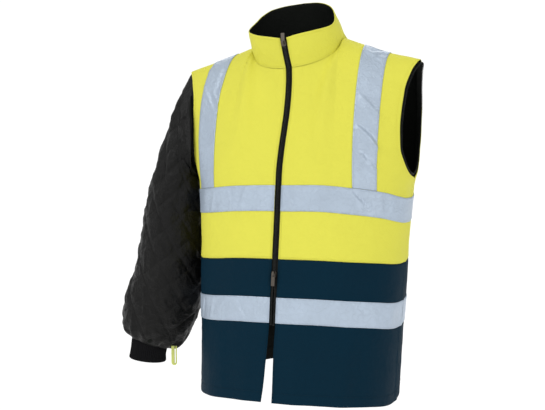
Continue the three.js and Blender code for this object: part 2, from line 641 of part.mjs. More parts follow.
// Tube wall whose outer grid is fine and whose plain inner grid takes every so many points.
function tube(outer, inner, ratio, split) {
  const fine = outer[0].length;
  const coarse = inner[0].length;
  const points = [...outer.flat(), ...inner.flat()];
  const start = outer.length * fine;
  const out = (r, c) => r * fine + (c % fine);
  const into = (r, c) => start + r * coarse + (c % coarse);
  const faces = [];
  for (let r = 0; r < outer.length - 1; r += 1) {
    for (let c = 0; c < fine; c += 1) {
      const [a, b, d, e] = [out(r, c), out(r + 1, c), out(r + 1, c + 1), out(r, c + 1)];
      if (split(r, c)) faces.push([a, b, d], [a, d, e]);
      else faces.push([a, b, e], [b, d, e]);
    }
  }
  for (let r = 0; r < inner.length - 1; r += 1) {
    for (let c = 0; c < coarse; c += 1) {
      const [a, b, d, e] = [into(r, c), into(r, c + 1), into(r + 1, c + 1), into(r + 1, c)];
      faces.push([a, b, d], [a, d, e]);
    }
  }
  for (const [row, innerRow, turned] of [[0, 0, false], [outer.length - 1, inner.length - 1, true]]) {
    for (let c = 0; c < coarse; c += 1) {
      const fan = [];
      for (let k = 0; k < ratio; k += 1) {
        fan.push([into(innerRow, c), out(row, c * ratio + k), out(row, c * ratio + k + 1)]);
      }
      fan.push([into(innerRow, c), out(row, (c + 1) * ratio), into(innerRow, c + 1)]);
      faces.push(...(turned ? fan.map(([a, b, d]) => [a, d, b]) : fan));
    }
  }
  return facedOut(points, faces);
}

// Quilted sleeve: diamonds raised between stitch lines that run both ways round it.
function addSleeve() {
  const rows = sleeveRows();
  const normals = ringNormals(rows);
  const last = rows.length - 1;
  const outer = rows.map((row, r) => row.map((point, c) => {
    const [one, other] = [(r - 1 + c) / QUILT.cell, (r - 1 - c) / QUILT.cell];
    const diamond = Math.sqrt(Math.abs(Math.sin(Math.PI * one) * Math.sin(Math.PI * other)));
    const growth = smooth((r - 1) / 8) * smooth((last - r) / 3);
    const nearEnd = smooth((r - last + GATHERS.rows + 2) / GATHERS.rows) * smooth((last - r) / 2);
    const gather = GATHERS.height * nearEnd * Math.cos((c / QUILT.columns) * GATHERS.count * 2 * Math.PI);
    return point.clone().addScaledVector(normals[r][c], QUILT.puff * diamond * growth + gather);
  }));
  const innerRows = rows.map((_, r) => r).filter((r) => r <= 1 || r === last || (r - 1) % 2 === 0);
  const inner = innerRows.map((r) => {
    const gathered = r < last ? GATHERS.height * smooth((r - last + GATHERS.rows + 2) / GATHERS.rows) : 0;
    return rows[r].filter((_, c) => c % QUILT.innerStep === 0)
      .map((point, i) => {
        return point.clone().addScaledVector(normals[r][i * QUILT.innerStep], -QUILT.wall - gathered);
      });
  });
  const alongLine = (r, c) => !(((r - 1 + c + 1) % QUILT.cell) === 0);
  add('quilted_sleeve', tube(outer, inner, QUILT.innerStep, alongLine), COLOURS.black, { rough: 0.5 });
}

// Ribbed cuff: ribs raised in the wall's outer points over a plain inside.
function addCuff() {
  const path = tubePath(CUFF);
  const columns = CUFF_RIBS.count * 2;
  const steps = 4;
  const ring = (count, row) => Array.from({ length: count }, (_, k) => {
    return ringPoint(path, (path.length * row) / steps, k / count).point;
  });
  const all = Array.from({ length: steps + 1 }, (_, row) => ring(columns, row));
  const normals = ringNormals(all);
  const outer = all.map((row, r) => row.map((point, c) => {
    return point.clone().addScaledVector(normals[r][c], c % 2 === 0 ? CUFF_RIBS.height : 0);
  }));
  const every = columns / CUFF_RIBS.inner;
  const inner = all.map((row, r) => row.filter((_, c) => c % every === 0)
    .map((point, i) => point.clone().addScaledVector(normals[r][i * every], -CUFF_RIBS.wall)));
  add('rib_cuff', tube(outer, inner, every, () => true), COLOURS.rib, { rough: 0.9 });
}

// Elastic loop that hangs from the sleeve's hem: two legs with a slot between them.
const LOOP = { x: -277.5, y: -29, z: -647, length: 44, width: 11.5, slot: 2.6, thick: 2 };

function addLoop() {
  const outline = new THREE.Shape();
  const radius = LOOP.width / 2;
  const drop = LOOP.length - radius;
  outline.moveTo(-radius, 0);
  outline.lineTo(-radius, -drop);
  outline.absarc(0, -drop, radius, Math.PI, 2 * Math.PI, false);
  outline.lineTo(radius, 0);
  outline.lineTo(-radius, 0);
  const slot = new THREE.Path();
  const half = LOOP.slot / 2;
  slot.moveTo(-half, -5);
  slot.lineTo(half, -5);
  slot.lineTo(half, -drop);
  slot.absarc(0, -drop, half, 0, -Math.PI, true);
  slot.lineTo(-half, -5);
  outline.holes.push(slot);
  const flat = { depth: LOOP.thick, bevelEnabled: false, curveSegments: 6 };
  const geometry = new THREE.ExtrudeGeometry(outline, flat);
  geometry.translate(0, 0, -LOOP.thick / 2);
  const mesh = add('elastic_loop', geometry, COLOURS.loop, { rough: 0.8 });
  mesh.position.set(LOOP.x, LOOP.y, LOOP.z);
  mesh.rotation.set(Math.PI / 2, VIEW_TURN, 0, 'ZXY');
  return mesh;
}

// Solid joined from closed geometries.
function joined(geometries) {
  const solids = geometries.map((geometry) => {
    const plain = geometry.clone();
    plain.deleteAttribute('normal');
    plain.deleteAttribute('uv');
    const merged = mergeVertices(plain, 1e-4);
    const vertProperties = new Float32Array(merged.attributes.position.array);
    const triVerts = new Uint32Array(merged.index.array);
    return new wasm.Manifold(new wasm.Mesh({ numProp: 3, vertProperties, triVerts }));
  });
  const whole = solids.reduce((sum, solid) => sum.add(solid)).getMesh();
  const geometry = new THREE.BufferGeometry();
  geometry.setAttribute('position', new THREE.BufferAttribute(whole.vertProperties, 3));
  geometry.setIndex(Array.from(whole.triVerts));
  geometry.computeVertexNormals();
  return geometry;
}

// Slider and pull tab. The slider's plate lies over the coil and its bridge holds the pull's crossbar,
// whose axis lies under the bridge.
const SLIDER = {
  wide: 9.4, low: -7.5, high: 4.2, base: 0.8, thick: 2, axis: 3, bridge: 3.4, reach: 4, arch: 1.5,
};
const PULL = { wide: 7, thick: 1.4, bar: 1.4, window: 4.8, windowWide: 4.8 };
const AXIS_HEIGHT = SLIDER.base + SLIDER.thick + SLIDER.axis;

// Rounded rectangle in the XY plane, centred sideways, from low to high.
function roundedPlate(wide, low, high, radius) {
  const shape = new THREE.Shape();
  const w = wide / 2;
  shape.moveTo(-w, low + radius);
  shape.absarc(-w + radius, low + radius, radius, Math.PI, 1.5 * Math.PI, false);
  shape.absarc(w - radius, low + radius, radius, 1.5 * Math.PI, 2 * Math.PI, false);
  shape.absarc(w - radius, high - radius, radius, 0, 0.5 * Math.PI, false);
  shape.absarc(-w + radius, high - radius, radius, 0.5 * Math.PI, Math.PI, false);
  shape.lineTo(-w, low + radius);
  return shape;
}

// Slider in its own frame: X across, Y up the zip, Z out of the cloth.
function sliderGeometry() {
  const plate = new THREE.ExtrudeGeometry(
    roundedPlate(SLIDER.wide, SLIDER.low, SLIDER.high, 3),
    { depth: SLIDER.thick, bevelEnabled: false, curveSegments: 4 },
  );
  plate.translate(0, 0, SLIDER.base);
  const top = SLIDER.base + SLIDER.thick;
  const arch = new THREE.Shape();
  const [inner, outer] = [SLIDER.reach - SLIDER.arch, SLIDER.reach];
  const ceiling = top + SLIDER.axis + 1.3;
  arch.moveTo(-outer, top - 0.4);
  arch.lineTo(-inner, top - 0.4);
  arch.lineTo(-inner, ceiling);
  arch.lineTo(inner, ceiling);
  arch.lineTo(inner, top - 0.4);
  arch.lineTo(outer, top - 0.4);
  arch.lineTo(outer, ceiling + 0.5);
  arch.lineTo(outer - 0.8, ceiling + 1.2);
  arch.lineTo(-outer + 0.8, ceiling + 1.2);
  arch.lineTo(-outer, ceiling + 0.5);
  const bridge = new THREE.ExtrudeGeometry(arch, { depth: SLIDER.bridge, bevelEnabled: false });
  bridge.rotateX(Math.PI / 2);
  bridge.rotateZ(Math.PI / 2);
  bridge.translate(-SLIDER.bridge / 2, 0, 0);
  return joined([plate, bridge]);
}

// Pull tab in the frame of its axis: X along the axis, hanging down -Y, Z out of the cloth.
function pullGeometry(length) {
  const outline = roundedPlate(PULL.wide, -length, PULL.bar / 2, 0.6);
  const hole = new THREE.Path();
  const w = PULL.windowWide / 2;
  hole.moveTo(-w, -PULL.bar / 2);
  hole.lineTo(w, -PULL.bar / 2);
  hole.lineTo(w, -PULL.bar / 2 - PULL.window);
  hole.lineTo(-w, -PULL.bar / 2 - PULL.window);
  hole.lineTo(-w, -PULL.bar / 2);
  outline.holes.push(hole);
  const flat = { depth: PULL.thick, bevelEnabled: false, curveSegments: 4 };
  const geometry = new THREE.ExtrudeGeometry(outline, flat);
  geometry.translate(0, 0, -PULL.thick / 2);
  return geometry;
}

// Group whose axes are across the zip, up the zip and out of the cloth, at a place on the zip line.
function zipFrame(at, near, normal) {
  const up = near.clone().sub(at).normalize();
  const out = normal.clone().addScaledVector(up, -normal.dot(up)).normalize();
  const across = up.clone().cross(out);
  const group = new THREE.Group();
  group.quaternion.setFromRotationMatrix(new THREE.Matrix4().makeBasis(across, up, out));
  group.position.copy(at);
  garment.add(group);
  return group;
}

const UPPER_SLIDER = { t: 0.88, pull: 19, lean: 207 };
const LOWER_PULL = 24;

function addSliders() {
  const { t } = UPPER_SLIDER;
  const upper = zipFrame(collarPoint(1, 0, t), collarPoint(1, 0, t + 0.01), collarNormal(1, 0.004, t));
  const low = LOWER_SLIDER;
  const lower = zipFrame(form(-1, 0, low), form(-1, 0, low + 1), formNormal(-1, 0, low));
  const metal = { rough: 0.35, metal: 0.8 };
  const sliders = [['upper', upper, UPPER_SLIDER.pull, UPPER_SLIDER.lean], ['lower', lower, LOWER_PULL, 0]];
  for (const [name, frame, length, lean] of sliders) {
    add(`${name}_slider`, sliderGeometry(), COLOURS.metal, { ...metal, parent: frame });
    const pull = add(`${name}_pull_tab`, pullGeometry(length), COLOURS.metal, { ...metal, parent: frame });
    pull.position.set(0, 0, AXIS_HEIGHT);
    pull.rotation.x = THREE.MathUtils.degToRad(-lean);
  }
}

addShell();
addTapes();
addCollar();
addZip();
addArmholeTape();
addSleeve();
addCuff();
addLoop();
addSliders();

export default garment;
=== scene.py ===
"""High-visibility work bodywarmer with one quilted sleeve zipped on, dressed in cloth on its CAD frame."""

import math

import bpy
import numpy as np
from bpy.props import FloatProperty, FloatVectorProperty, IntProperty, PointerProperty
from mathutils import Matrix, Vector


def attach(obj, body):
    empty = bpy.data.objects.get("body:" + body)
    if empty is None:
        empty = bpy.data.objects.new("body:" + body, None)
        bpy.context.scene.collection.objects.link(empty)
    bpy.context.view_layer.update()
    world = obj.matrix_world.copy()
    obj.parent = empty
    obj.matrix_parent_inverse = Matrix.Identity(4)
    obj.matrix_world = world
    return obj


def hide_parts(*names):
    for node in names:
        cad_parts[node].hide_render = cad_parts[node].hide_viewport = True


bl_info = {
    "name": "High-visibility bodywarmer",
    "version": (1, 0, 0),
    "blender": (4, 5, 0),
    "location": "3D View > Sidebar > Bodywarmer",
    "description": "Cloth, sewing, zip and studio of a worn bodywarmer with one quilted sleeve",
    "category": "Add Mesh",
}

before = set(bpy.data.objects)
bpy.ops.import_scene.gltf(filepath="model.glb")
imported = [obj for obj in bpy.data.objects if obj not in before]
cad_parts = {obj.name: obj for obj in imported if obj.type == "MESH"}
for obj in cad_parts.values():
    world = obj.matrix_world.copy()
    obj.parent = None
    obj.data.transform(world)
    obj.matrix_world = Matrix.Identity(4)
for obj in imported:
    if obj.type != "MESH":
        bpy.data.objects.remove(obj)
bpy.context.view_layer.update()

# The garment's sizes are in millimetres, as in its pattern, and meshes are written in metres.
# X runs to the wearer's left, -Y is the front and Z is up.
MM = 0.001

# Cloth thicknesses, and where each layer's two faces lie outside the garment's surface.
SHELL = 1.6
LAYERS = {"shell": (0.0, -SHELL), "lining": (-1.9, -3.1), "tape": (1.3, 0.3), "facing": (-3.6, -4.8)}

# Horizontal sections of the body: height, front, side seam, back, half width, sideways shift.
CHEST = -255
BODY = [
    (-695, -172, 2, 150, 209, 2),
    (-540, -153, 6, 155, 211, 5),
    (-430, -142, 10, 158, 216, 6),
    (-385, -138, 14, 160, 216, 6),
    (-340, -135, 17, 161, 218, 6),
    (CHEST, -130, 20, 162, 223, 6),
]
SECTION_POWER = 2.25

# Neckline and shoulder line, and how the upper body leads to them. -1 is the wearer's right or the front,
# 1 the left or the back.
NECK_HALF = 92
NECK_END = {-1: (-83, -50), 1: (62, 12)}
NECK_DIP = 0.75
NECK_SHARE = 0.3
CENTRE_SHARE = 0.05
SLOPE_STEP = 30
SHOULDER_TIP = np.array((243.0, 6.0, -47.0))
SHOULDER_HOLLOW = {-1: -1, 1: 5}
SHOULDER_TILT = (14, 140)
TILT_FADE = (300, 250)
SHOULDER_BOW = 1.6
SHOULDER_PULL = 95
DEPTH_PULL = 0.75
SHOULDER_LEAN = 0.12
ARMHOLE_SPREAD = 18
NECK_DIRECTION = {-1: np.array((0, -0.1, 0.99)), 1: np.array((0, -0.3, 0.95))}

# Sideways path of the zip line: height, x.
ZIP_PATH = [(-695, 6), (-541, 2), (-415, 3), (-264, 6), (-110, 9), (0, 8)]

# How far a level line hangs below its height at the front centre: share of the half width, drop.
SAG = [
    (-1, 31), (-0.88, 29.5), (-0.64, 23), (-0.43, 15), (-0.2, 5), (0, 0),
    (0.2, -2), (0.45, 3), (0.65, 10), (0.8, 18), (0.9, 22), (1, 23.5),
]

# How much of that drop the wearer's left side has at each height.
LEFT_SAG = [(-695, 1), (-537, 0.95), (-413, 0.72), (-321, 1.25), (CHEST, 1.35)]

# Share of the half width at which panels meet at the side, a hair short of each other.
SIDE_SEAM = 1 - 0.0006

# Armholes: height, and the share of the half width that the front and the back keep.
ARMHOLE_BOTTOM = -232
ARMHOLE = [
    (ARMHOLE_BOTTOM, 1, 1), (-226, 0.9, 0.93), (-212, 0.8, 0.86), (-190, 0.72, 0.8), (-150, 0.69, 0.77),
    (-105, 0.71, 0.78), (-60, 0.79, 0.84), (-25, 0.9, 0.93), (0, 1, 1),
]

# Heights of the tapes, the colour change, the zip's end and the hem.
CHEST_BAND = (-271.5, -321.5)
HIP_BAND = (-487, -537)
COLOUR_CHANGE = -413.5
ZIP_END = -541
HEM = -691
LOWER_SLIDER = -441

# Shoulder tapes: height, then the inner and outer edge on the wearer's right and left.
BRACES = [(-271.5, 142, 188, 144, 184), (-130, 146, 194, 139, 184), (0, 134, 183, 135, 185)]

# Zip, and the distance from its line to each front's edge below it: height, left, right.
REVEAL = 6.5
FACING = 16
OPENING = [(HEM, 1.5, 21), (-650, 3, 15), (-600, 4, 10.5), (-570, 5, 8), (ZIP_END, 6.5, 6.5), (0, 6.5, 6.5)]

# Collar rim, and its height from the front to the back.
COLLAR_HEIGHT = 80
RIM = {"x": -8, "y": -28, "half": {-1: 85, 1: 87}, "depth": 76, "front_x": 4.5, "bulge": 1.5}
RIM_HEIGHTS = [
    (0, 4, 4), (0.1, 10, 9), (0.25, 20, 14.5), (0.45, 33, 24), (0.55, 43.5, 34), (0.65, 60, 51),
    (0.75, 72, 66), (0.9, 78.5, 77.5), (1, 79.5, 79.5),
]

# Sleeve and cuff stations: centre x, y, z, half width across, half depth.
SLEEVE = [
    (-284, 6, -345, 61, 70), (-293, 2, -440, 70, 71), (-299, -3, -506, 76, 69),
    (-310, -8, -546, 78, 66), (-318, -11, -573, 76, 62), (-330, -14, -611, 70, 54),
    (-340, -16, -637, 58, 45), (-343, -17, -646, 43, 31),
]
CUFF = [
    (-340, -16, -638, 39, 27), (-343, -17, -648, 39, 27),
    (-346, -19, -668, 38, 26), (-348, -20, -686, 40, 28),
]

# How far the camera, and with it the sleeve's widest side, is turned from straight ahead.
VIEW_TURN = math.radians(22)

# Fine gap that sewn pieces keep from each other, and how much of a piece's thickness its edges keep.
HAIR = 0.15
EDGE_THINNING = 0.45

# About how wide a front, the back and a brace are, for the spacing of their points.
FRONT_WIDTH = 250
BACK_WIDTH = 520
BRACE_WIDTH = 46


def smooth(t):
    """Rise from 0 to 1 that starts and ends level."""
    t = np.clip(t, 0, 1)
    return t * t * (3 - 2 * t)


def curve(rows, column=1):
    """Monotone cubic curve through one column of a table against its first column."""
    xs = np.array([row[0] for row in rows], float)
    ys = np.array([row[column] for row in rows], float)
    slopes = np.diff(ys) / np.diff(xs)
    product = slopes[:-1] * slopes[1:]
    total = np.where(product > 0, slopes[:-1] + slopes[1:], 1)
    inner = np.where(product > 0, 2 * product / total, 0)
    tangents = np.concatenate((slopes[:1], inner, slopes[-1:]))

    def at(x):
        x = np.clip(x, xs[0], xs[-1])
        i = np.clip(np.searchsorted(xs, x, side="right") - 1, 0, len(xs) - 2)
        width = xs[i + 1] - xs[i]
        t = (x - xs[i]) / width
        rise = width * (tangents[i] * (t**3 - 2 * t**2 + t) + tangents[i + 1] * (t**3 - t**2))
        return ys[i] + (ys[i + 1] - ys[i]) * (3 * t**2 - 2 * t**3) + rise

    return at


FRONT, SIDE, BACK, HALF, SHIFT = (curve(BODY, column) for column in range(1, 6))
REACH = {-1: FRONT, 1: BACK}
zip_x = curve(ZIP_PATH)
drop = curve(SAG)
left_sag = curve(LEFT_SAG)
ARMHOLE_SHARE = {-1: curve(ARMHOLE, 1), 1: curve(ARMHOLE, 2)}
BRACE_INNER = {-1: curve(BRACES, 1), 1: curve(BRACES, 3)}
BRACE_OUTER = {-1: curve(BRACES, 2), 1: curve(BRACES, 4)}
OPENING_EDGE = {-1: curve(OPENING, 2), 1: curve(OPENING, 1)}
rim_height = {-1: curve(RIM_HEIGHTS, 1), 1: curve(RIM_HEIGHTS, 2)}


def tilt(x):
    """The wearer's right shoulder hangs a little lower than the left."""
    return SHOULDER_TILT[0] * np.tanh(x / SHOULDER_TILT[1])


def unit(v):
    """Vectors of the same direction and length 1."""
    return v / np.maximum(np.linalg.norm(v, axis=-1, keepdims=True), 1e-9)


def hermite(t, start, leaving, end, arriving):
    """Curve between two points that leaves and arrives along the given vectors."""
    return (
        start * (2 * t**3 - 3 * t**2 + 1)
        + leaving * (t**3 - 2 * t**2 + t)
        + end * (-2 * t**3 + 3 * t**2)
        + arriving * (t**3 - t**2)
    )


def lower_point(face, share, z):
    """Point of the lower body: a rounded-square section at height z."""
    angle = share * np.pi / 2
    x = HALF(z) * np.sin(angle) ** (2 / SECTION_POWER)
    y = SIDE(z) + (REACH[face](z) - SIDE(z)) * np.maximum(np.cos(angle), 0) ** (2 / SECTION_POWER)
    return np.stack(np.broadcast_arrays(x, y, z), -1)


def top_point(face, share, hollow):
    """Point of the neckline or the shoulder line."""
    angle = np.clip(share / NECK_SHARE, 0, 1) * np.pi / 2
    to_centre = np.maximum(np.cos(angle), 0)
    y, z = NECK_END[face]
    neck = np.stack([NECK_HALF * np.sin(angle), y * to_centre, z * to_centre**NECK_DIP], -1)
    along = 1 - (1 - np.clip((share - NECK_SHARE) / (1 - NECK_SHARE), 0, 1)) ** SHOULDER_BOW
    corner = np.array((NECK_HALF, 0.0, 0.0))
    shoulder = corner + (SHOULDER_TIP - corner) * along[..., None]
    shoulder[..., 2] -= hollow * np.sin(along * np.pi)
    return np.where((share < NECK_SHARE)[..., None], neck, shoulder)


def form(face, s, level):
    """Point of the garment's surface. face is -1 in front and 1 behind, s runs from -1 at the wearer's
    right to 1 at the left, and level is the height at the front centre."""
    s, level = np.broadcast_arrays(np.asarray(s, float), np.asarray(level, float))
    share = np.abs(s)
    low = np.minimum(level, CHEST)
    point = lower_point(face, share, low)
    rise = np.clip((level - CHEST) / -CHEST, 0, 1)
    end = top_point(face, share, np.where(s < 0, SHOULDER_HOLLOW[-1], SHOULDER_HOLLOW[1]))
    span = np.linalg.norm(end - point, axis=-1)
    over = smooth((share - CENTRE_SHARE) / (NECK_SHARE - CENTRE_SHARE))
    slope = (point - lower_point(face, share, np.full_like(share, CHEST - SLOPE_STEP))) / SLOPE_STEP
    depth = np.abs(end[..., 1] - point[..., 1])
    pull = span * (1 - over) + (SHOULDER_PULL + DEPTH_PULL * depth) * over
    over_seam = np.array((0, -face, SHOULDER_LEAN))
    arriving = NECK_DIRECTION[face] * (1 - over[..., None]) + over_seam * over[..., None]
    t = rise[..., None]
    above = hermite(t, point, slope * span[..., None], end, unit(arriving) * pull[..., None])
    point = np.where(t > 0, above, point)
    point[..., 0] += ARMHOLE_SPREAD * smooth((share - 0.2) / 0.6) * np.sin(np.pi * rise) ** 1.2
    point[..., 0] *= np.sign(s)
    point[..., 0] += SHIFT(low) * smooth((share - 0.3) / 0.7) * (1 - smooth(rise))
    if face < 0:
        point[..., 0] += zip_x(level) * (1 - smooth(share / NECK_SHARE))
    sag = drop(s) * np.where(s > 0, left_sag(level), 1)
    point[..., 2] -= sag * (1 - smooth(rise))
    point[..., 2] += tilt(point[..., 0]) * smooth((level + TILT_FADE[0]) / TILT_FADE[1])
    return point


def form_normal(face, s, level):
    """Outward normal of the garment's surface, by small steps."""
    s, level = np.broadcast_arrays(np.asarray(s, float), np.asarray(level, float))
    across = form(face, np.minimum(s + 0.002, 1), level) - form(face, np.maximum(s - 0.002, -1), level)
    along = form(face, s, np.minimum(level + 1, 0)) - form(face, s, np.maximum(level - 1, HEM - 10))
    return unit(np.cross(across, along)) * -face


def sewn_normal(face, s, level):
    """Surface normal that turns to the mean of front and back towards the shoulder seam."""
    own = form_normal(face, s, level)
    near = smooth(1 + level / 14) * smooth((np.abs(s) - 0.2) / 0.1)
    return unit(own + form_normal(-face, s, np.minimum(level, -HAIR)) * near[..., None])


def solve(test, low, high, shape):
    """Value at which a test that grows with it crosses zero, for each entry of an array."""
    a = np.full(shape, float(low))
    b = np.full(shape, float(high))
    for _ in range(32):
        middle = (a + b) / 2
        below = test(middle) < 0
        a = np.where(below, middle, a)
        b = np.where(below, b, middle)
    return (a + b) / 2


def share_at_x(face, side, x, level):
    """Share at which one side of the body reaches a distance from its middle plane."""
    return solve(lambda s: side * form(face, side * s, level)[..., 0] - x, 0, 1, np.shape(level))


def share_from_zip(side, distance, level):
    """Share at which a front is that far from the zip line."""
    centre = form(-1, np.zeros_like(level), level)
    reach = lambda s: np.linalg.norm(form(-1, side * s, level) - centre, axis=-1)
    return solve(lambda s: reach(s) - distance, 0, 0.5, np.shape(level))


def panel_end(face, level):
    """Share at which a panel ends: at the armhole above, at the side seam below."""
    return np.where(level > ARMHOLE_BOTTOM, ARMHOLE_SHARE[face](level), SIDE_SEAM)


def lattice(ix, iy, iz, seed):
    """Even value from -1 to 1 for each whole-number place."""
    mixed = (ix * 374761393 + iy * 668265263 + iz * 1442695041 + seed * 974634777) & 0xFFFFFFFF
    mixed = ((mixed ^ (mixed >> 13)) * 1274126177) & 0xFFFFFFFF
    return ((mixed ^ (mixed >> 16)) & 0xFFFF) / 32767.5 - 1


def noise(point, size, seed=0):
    """Smooth noise from -1 to 1. size is the length of a bump along x, y and z."""
    scaled = point / np.asarray(size, float)
    base = np.floor(scaled).astype(np.int64)
    part = scaled - base
    weight = part * part * part * (part * (part * 6 - 15) + 10)
    total = 0
    for corner in range(8):
        bits = [(corner >> axis) & 1 for axis in range(3)]
        share = 1
        for axis, bit in enumerate(bits):
            share = share * (weight[..., axis] if bit else 1 - weight[..., axis])
        total = total + share * lattice(*(base[..., axis] + bits[axis] for axis in range(3)), seed)
    return total


def ridged(point, size, seed=0):
    """Creased noise from 0 to 1, sharp along its ridges."""
    return (1 - np.abs(noise(point, size, seed))) ** 3


# Creases of the front and the back, each a soft ridge on a line in the x-z plane with a trough beside it:
# start x, z, end x, z, half width, height.
FRONT_CREASES = [
    (139, -17, 186, -38, 5, 1.6), (153, -28, 168, -20, 4, 1.4), (144, -97, 187, -142, 6, 2.0),
    (146, -157, 187, -203, 7, 3.2), (152, -208, 183, -243, 6, 2.4), (138, -272, 163, -327, 7, 2.6),
    (-58, -280, -72, -340, 8, 2.2), (22, -282, 40, -332, 7, 1.8), (-156, -50, -165, -95, 6, 1.2),
    (-138, -85, -150, -140, 6, 1.0), (-100, -30, -82, -150, 12, 1.3), (-55, -60, -48, -170, 14, 1.0),
    (60, -120, 96, -250, 16, 1.2), (-150, -360, -120, -400, 12, 1.2), (100, -340, 150, -400, 14, 1.3),
    (-120, -560, -108, -690, 14, 1.8), (60, -570, 52, -690, 15, 1.6), (150, -540, 140, -690, 13, 1.8),
]
BACK_CREASES = [
    (-150, -60, -70, -130, 11, 2.2), (155, -70, 80, -150, 12, 2.0), (-60, -170, -20, -300, 16, 1.6),
    (70, -190, 30, -320, 15, 1.8), (-170, -150, -140, -240, 8, 2.4), (165, -130, 150, -230, 8, 2.2),
    (-30, -60, 40, -66, 9, 1.2), (-90, -550, -104, -690, 15, 2.0), (20, -540, 24, -690, 16, 1.6),
    (120, -560, 132, -690, 14, 1.9), (-160, -400, -120, -470, 12, 1.5),
]

# Sharp folds that the stiffer tape keeps, in the same form, on the fronts alone.
TAPE_CREASES = [
    (144, -98, 186, -143, 3, 1.5), (146, -158, 169, -178, 3.2, 2.0), (169, -178, 186, -203, 3.2, 2.0),
    (152, -207, 165, -230, 4, 1.3), (165, -230, 183, -244, 4, 1.3), (140, -17, 155, -24, 3, 1.2),
    (155, -24, 177, -20, 3, 1.1), (19, -276, 21, -317, 3, 1.0), (27, -289, 39, -316, 3.5, 1.2),
    (140, -282, 153, -296, 3.2, 1.5), (153, -296, 170, -313, 3.2, 1.5), (190, -290, 193, -323, 4, 0.9),
    (213, -301, 208, -329, 4, 0.9), (-192, -88, -160, -132, 3, 1.4), (-168, -94, -141, -131, 3, 1.2),
    (-158, -138, -143, -143, 3, 1.0), (-201, -46, -170, -76, 4, 0.8), (-63, -281, -77, -326, 3.5, 1.4),
    (-9, -277, -6, -320, 3.5, 0.9), (-28, -278, -27, -321, 4, 0.7), (-141, -295, -149, -336, 4, 0.9),
    (-106, -287, -95, -322, 4, 0.8), (27, -485, 42, -512, 3.5, 1.2), (148, -496, 170, -520, 3.5, 1.1),
    (122, -490, 112, -529, 5, 0.6), (182, -500, 188, -538, 4, 0.8), (213, -511, 208, -549, 4, 0.9),
    (-79, -502, -57, -540, 3.5, 1.3), (-170, -512, -176, -556, 3.5, 1.0), (-137, -508, -145, -552, 3.5, 1.0),
    (-114, -505, -108, -544, 3.5, 0.9), (-12, -496, -14, -536, 4, 0.8),
]


def creases(point, rows):
    """Height of listed creases at points of one face."""
    total = np.zeros(point.shape[:-1])
    flat = point[..., (0, 2)]
    for x0, z0, x1, z1, width, height in rows:
        start = np.array((x0, z0), float)
        line = np.array((x1, z1), float) - start
        length = np.linalg.norm(line)
        line = line / length
        along = (flat - start) @ line / length
        off = (flat - start) @ np.array((-line[1], line[0])) / width
        taper = smooth((along + 0.15) / 0.4) * smooth((1.15 - along) / 0.4)
        total += height * taper * (np.exp(-off**2) - 0.6 * np.exp(-((off - 1.6) ** 2)))
    return total


def drape(face, point, level):
    """How far the worn cloth stands off the plain form, for all the layers of the body."""
    low = smooth((-330 - level) / 300)
    flutes = noise(point, (58, 90, 420), 3) * (0.8 + 2.6 * low)
    flutes += noise(point, (27, 60, 170), 4) * (0.35 + 0.7 * low)
    shoulders = smooth((level + 260) / 120)
    ripples = noise(point, (20, 40, 120), 5) * (0.25 + 0.5 * shoulders)
    small = (ridged(point, (34, 34, 24), 6) - 0.35) * 0.45
    rows = FRONT_CREASES if face < 0 else BACK_CREASES
    return flutes + ripples + small + creases(point, rows)


def band_wave(level, point):
    """Soft troughs across the two bands, where the tape holds the cloth in."""
    total = np.zeros(np.shape(level))
    for top, bottom in (CHEST_BAND, HIP_BAND):
        middle = (top + bottom) / 2
        near = np.exp(-(((level - middle) / 30) ** 2))
        total = total + near * noise(point, (17, 22, 90), 8) * 0.9
    return total


def seam_dip(distance, width=2.2, depth=0.7):
    """Valley that a line of sewing presses into cloth at a distance from it."""
    return -depth * np.exp(-((distance / width) ** 2))


def body_relief(face, s, level, point):
    """Drape, troughs and the valleys of the sewing, in millimetres along the normal."""
    relief = drape(face, point, level) + band_wave(level, point)
    relief = relief + seam_dip(level - COLOUR_CHANGE)
    for top, bottom in (CHEST_BAND, HIP_BAND):
        for edge in (top, bottom):
            pucker = noise(point, (7, 9, 14), 9) * np.exp(-(((level - edge) / 7) ** 2))
            relief = relief + 0.28 * pucker
    at_side = smooth((1 - np.abs(s)) / 0.04)
    at_neck = np.maximum(smooth(-level / 14), smooth((np.abs(s) - NECK_SHARE) / 0.08))
    relief = relief * (0.35 + 0.65 * at_side) * at_neck
    return relief + seam_dip(level - (HEM + 22), 2.0, 0.5)


class Surface:
    """Grid of points of the worn body with normals and relief, one row for each level."""

    def __init__(self, face, s, level, taped=False):
        s, level = np.broadcast_arrays(s, level)
        self.s = s
        self.base = form(face, s, level)
        self.normal = sewn_normal(face, s, level)
        self.relief = body_relief(face, s, level, self.base)
        if taped and face < 0:
            self.relief = self.relief + creases(self.base, TAPE_CREASES)

    def at(self, height):
        return self.base + self.normal * (self.relief + height)[..., None]


def levels_between(top, bottom, step):
    """Levels from top to bottom, a hair inside both where other pieces are sewn on."""
    top = top - (2 if top == 0 else 1) * HAIR
    bottom = bottom + (0 if bottom == HEM else HAIR)
    count = max(int(round((top - bottom) / step)), 2)
    return np.linspace(top, bottom, count + 1)[:, None]


def between(start, end, width, step):
    """Shares from start to end, about a step apart on a strip that is so wide."""
    count = max(int(round(width / step)), 2)
    return start + (end - start) * np.linspace(0, 1, count + 1)[None, :]


def front_surface(side, top, bottom, step, taped=False):
    """One front, from its edge beside the zip to the armhole or side seam."""
    level = levels_between(top, bottom, step)
    start = share_from_zip(side, OPENING_EDGE[side](level), level)
    s = between(start, panel_end(-1, level), FRONT_WIDTH, step)
    return Surface(-1, side * s, level, taped)


def back_surface(top, bottom, step):
    """The whole back between two levels."""
    level = levels_between(top, bottom, step)
    end = panel_end(1, level)
    return Surface(1, between(-end, end, BACK_WIDTH, step), level)


